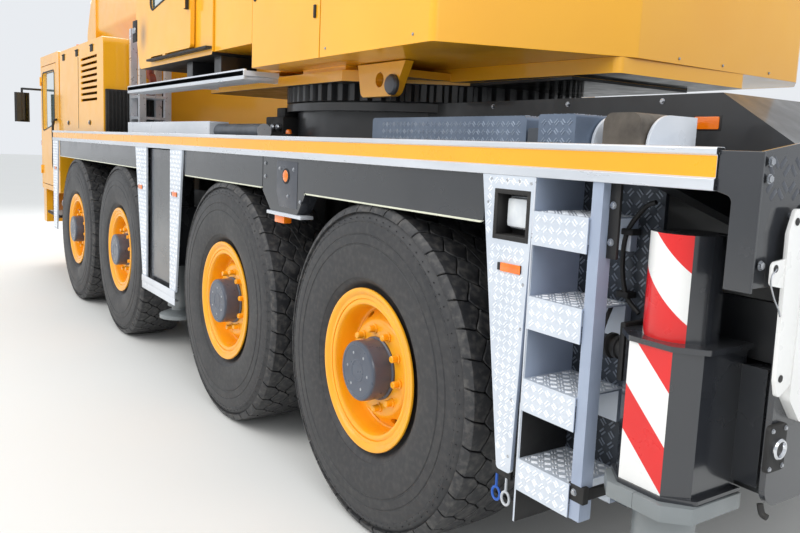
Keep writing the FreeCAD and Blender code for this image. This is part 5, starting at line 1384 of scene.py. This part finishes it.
def tail_fittings():
    """Bolts and pattern on the folded cover, the socket, lamps in the white frames, drain hook."""
    piece = Piece("tail_fittings")
    bars = chequer_bars(end_place(cover_x, -1), (-1.33, 1.33), (1.635, 1.755), 0.05, 0.034, 0.014, 0.0014)
    piece.add(bars, dark_plate)
    piece.mirrored = True
    bolt = bolt_head(0.011, 0.009)
    for y, z in ((1.332, 1.694), (1.332, 1.48), (1.332, 1.736)):
        piece.put(bolt, (-1.7705, y, z), (-1, 0, 0), zinc)
    for y in (1.2, 0.8, 0.4):
        piece.put(bolt, (cover_x, y, 1.6), (-1, 0, 0), zinc)
    # Socket on its black plate
    y, z = 1.185, 0.985
    piece.add(plate(rounded_corners(box_corners(0.084, 0.13, y, z), 0.014),
                    end_place(tail_x, -1), 0.014, 0.003), black_matt)
    ring = turned([(0, 0.019), (0, 0.029), (0.008, 0.029), (0.012, 0.026), (0.012, 0.022),
                   (0.004, 0.019)], 32)
    core = turned([(0, 0), (0, 0.019), (0.005, 0.019), (0.005, 0)], 32)
    piece.put(ring, (tail_x - 0.014, y, z), (-1, 0, 0), chrome)
    piece.put(core, (tail_x - 0.014, y, z), (-1, 0, 0), hose_rubber)
    for a, b in ((-0.03, 0.052), (0.03, 0.052), (-0.03, -0.052), (0.03, -0.052)):
        piece.put(bolt_head(0.006, 0.005), (tail_x - 0.014, y + a, z + b), (-1, 0, 0), zinc)
    # Lamps in the frames: red, amber and clear
    piece.box((-1.776, -1.7715), (0.7, 1.08), (1.15, 1.4), black_matt, 0.004)
    for y0, y1, look in ((0.712, 0.812, red_lens), (0.826, 0.9, lamp_white), (0.914, 0.98, amber),
                         (0.994, 1.068, red_lens)):
        piece.box((-1.792, -1.775), (y0, y1), (1.175, 1.375), look, 0.01)
    # Holes are thin dark discs laid on the surface: painted shade in place of cut holes.
    hole = turned([(0, 0), (0, 0.01), (0.0008, 0.01), (0.0008, 0)], 20)
    for y, z in ((0.655, 1.095), (1.095, 1.095), (0.655, 1.59), (1.145, 1.59), (0.655, 1.34), (1.145, 1.34),
                 (0.8, 1.55), (1.0, 1.55)):
        piece.put(hole, (-1.7992, y, z), (-1, 0, 0), hose_rubber)
    # Outer flange of the white frame, with an ear, a pin and its wire
    flange = [(1.172, 1.165), (1.236, 1.13), (1.252, 1.18), (1.262, 1.56), (1.24, 1.622), (1.172, 1.622)]
    piece.add(plate(rounded_corners(flange, 0.012), end_place(-1.797), 0.012, 0.002), signal_white)
    piece.add(plate(rounded_corners([(1.25, 1.42), (1.318, 1.432), (1.318, 1.49), (1.25, 1.498)], 0.014),
                    end_place(-1.793), 0.006, 0.001), signal_white)
    piece.put(hole, (-1.7935, 1.3, 1.474), (-1, 0, 0), hose_rubber)
    for place_z in (1.185, 1.59):
        piece.put(hole, (-1.7978, 1.232, place_z), (-1, 0, 0), hose_rubber)
    wire = smooth_path([(-1.7955, 1.3, 1.474), (-1.7965, 1.322, 1.445), (-1.7965, 1.3, 1.4),
                        (-1.7965, 1.275, 1.37), (-1.7955, 1.262, 1.35)])
    piece.add(tube(wire, 0.0022, 6), zinc)
    hook = smooth_path([(-1.762, 1.2, 0.825), (-1.77, 1.2, 0.8), (-1.785, 1.2, 0.795)])
    piece.add(tube(hook, 0.009, 10), black_matt)
    piece.done()


def spine_marks():
    """Amber reflector on its black plate, and bolts, on each side of the spine."""
    piece = Piece("spine_marks", mirrored=True)
    y = 0.56
    piece.add(plate(rounded_corners(box_corners(0.104, 0.046, -1.055, 1.87), 0.005), side_place(y), 0.006,
                    0.001), amber)
    piece.box((-1.115, -0.995), (y - 0.001, y + 0.002), (1.842, 1.898), black_matt, 0.001)
    for x in (-0.85, -0.35, 0.15, 0.65):
        piece.put(bolt_head(0.01, 0.008), (x, y, 1.955), (0, 1, 0), zinc)
    piece.done()


tail_fittings()
spine_marks()


# Lines and fittings behind the ladder, and small parts on the deck

def outrigger_lines():
    """Line beside each rear outrigger, and a hydraulic coupling on the left, where no beam passes."""
    piece = Piece("outrigger_lines")
    coupling = turned([(0, 0), (0, 0.026), (0.006, 0.03), (0.02, 0.03), (0.022, 0.036), (0.036, 0.036),
                       (0.038, 0.028), (0.048, 0.028), (0.05, 0.04), (0.062, 0.04), (0.066, 0.034),
                       (0.066, 0)], 28)
    piece.box((-1.345, -1.325), (1.15, 1.29), (1.06, 1.24), black_matt, 0.006)
    piece.box((-1.345, -1.325), (1.145, 1.158), (1.1, 1.2), black_matt, 0.006)
    piece.put(coupling, (-1.325, 1.25, 1.15), (1, 0, 0), cast)
    pipe = smooth_path([(-1.262, 1.252, 1.15), (-1.235, 1.25, 1.16), (-1.215, 1.235, 1.19),
                        (-1.213, 1.2, 1.26)])
    piece.add(tube(pipe, 0.007, 10), hose_rubber)
    piece.mirrored = True
    loop = smooth_path([(x, 1.175, z) for x, z in (
        (-1.3, 1.25), (-1.245, 1.3), (-1.222, 1.4), (-1.232, 1.5), (-1.29, 1.58), (-1.33, 1.6))])
    piece.add(tube(loop, 0.008, 10), hose_rubber)
    for z in (1.3, 1.5):
        piece.box((-1.26, -1.215), (1.143, 1.186), about(z, 0.01), black_matt, 0.003)
    piece.done()


def deck_bits():
    """Valve block and lamp beside the ring, and curved white guards."""
    piece = Piece("deck_bits")
    piece.box((1.74, 2.0), (0.78, 0.94), (deck_top, 1.9), black_matt, 0.01)
    piece.box((1.8, 1.92), (0.8, 0.9), (1.895, 1.96), black_matt, 0.01)
    knob = turned([(0, 0), (0, 0.02), (0.02, 0.024), (0.026, 0.018), (0.028, 0)], 16)
    for x in (1.78, 1.86, 1.94):
        piece.put(knob, (x, 0.94, 1.83), (0, 1, 0), zinc)
    piece.box((1.585, 1.64), (0.93, 0.99), (deck_top, 1.79), black_matt, 0.006)
    piece.put(turned([(0, 0), (0, 0.02), (0.018, 0.019), (0.028, 0.012), (0.03, 0)], 20),
              (1.612, 0.96, 1.789), (0, 0, 1), amber)
    # Upright white guards across the deck, rounded at their outer upper corner
    piece.mirrored = True
    for x in (-0.947, -1.18):
        turns = [radians(angle) for angle in range(0, 91, 10)]
        arc = [(0.938 + 0.105 * sin(turn), deck_top + 0.02 + 0.105 * cos(turn)) for turn in turns]
        piece.add(plate([(0.795, deck_top), (0.795, deck_top + 0.125)] + arc + [(1.043, deck_top)],
                        end_place(x), 0.012, 0.002), pale_plate)
        piece.box((x + 0.01, x + 0.055), (0.8, 1.02), (deck_top + 0.0195, deck_top + 0.026), pale_plate,
                  0.002)
    piece.done()


outrigger_lines()
deck_bits()


# Camera, floor and lights

camera_place = Vector((at(-2.8385), 3.1544, 1.7333))
camera_yaw = radians(33.99)
camera_pitch = radians(7.505)
camera_roll = radians(-2.344)
focal_pixels = 776.77
centre_column, centre_row = 390.894, 249.644
photo_width, photo_height = 800.0, 533.0
sensor_width = 36.0


def camera():
    ahead = Vector((cos(camera_yaw) * cos(camera_pitch),
                    -sin(camera_yaw) * cos(camera_pitch), -sin(camera_pitch)))
    level = Vector((-sin(camera_yaw), -cos(camera_yaw), 0))
    down = ahead.cross(level)
    right = level * cos(camera_roll) + down * sin(camera_roll)
    low = -level * sin(camera_roll) + down * cos(camera_roll)
    data = bpy.data.cameras.new("camera")
    thing = new_object("camera", data)
    turn = Matrix((right, -low, -ahead)).transposed().to_4x4()
    thing.matrix_world = Matrix.Translation(camera_place) @ turn
    data.sensor_width = sensor_width
    data.lens = focal_pixels / photo_width * sensor_width
    data.shift_x = (photo_width / 2 - centre_column) / photo_width
    data.shift_y = (centre_row - photo_height / 2) / photo_width
    data.clip_end = 200
    bpy.context.scene.camera = thing


def floor():
    size = 60.0
    mesh = bpy.data.meshes.new("floor")
    mesh.from_pydata([(-size, -size, 0), (size, -size, 0), (size, size, 0), (-size, size, 0)], [],
                     [[0, 1, 2, 3]])
    mesh.materials.append(finish("pale_floor", (238, 238, 235), (236, 236, 233), 0.6, 0.75, 0.05,
                                 bump=0.0003, grain=40.0))
    new_object("floor", mesh)


def light(name, place, target, size, power, colour=(1, 1, 1)):
    data = bpy.data.lights.new(name, "AREA")
    data.shape = "RECTANGLE"
    data.size, data.size_y = size
    data.energy = power
    data.color = colour
    thing = new_object(name, data)
    aim = (Vector(target) - Vector(place)).to_track_quat("-Z", "Y").to_matrix().to_4x4()
    thing.matrix_world = Matrix.Translation(Vector(place)) @ aim


def sky():
    world = bpy.data.worlds.new("world")
    bpy.context.scene.world = world
    world.use_nodes = True
    shade = world.node_tree.nodes["Background"]
    shade.inputs["Color"].default_value = (0.93, 0.96, 1.0, 1.0)
    shade.inputs["Strength"].default_value = 0.88


camera()
floor()
sky()
light("key", (at(2.0), 9.0, 9.0), (at(1.5), 0.0, 0.8), (11.0, 8.0), 680.0, (1.0, 0.98, 0.95))
light("front", (at(14.0), -1.0, 6.5), (at(5.0), 0.0, 1.0), (5.0, 4.0), 320.0)
light("back", (at(-8.0), 3.0, 6.0), (at(0.0), 0.5, 1.0), (5.0, 4.0), 220.0)
bpy.context.scene.view_settings.view_transform = "Standard"
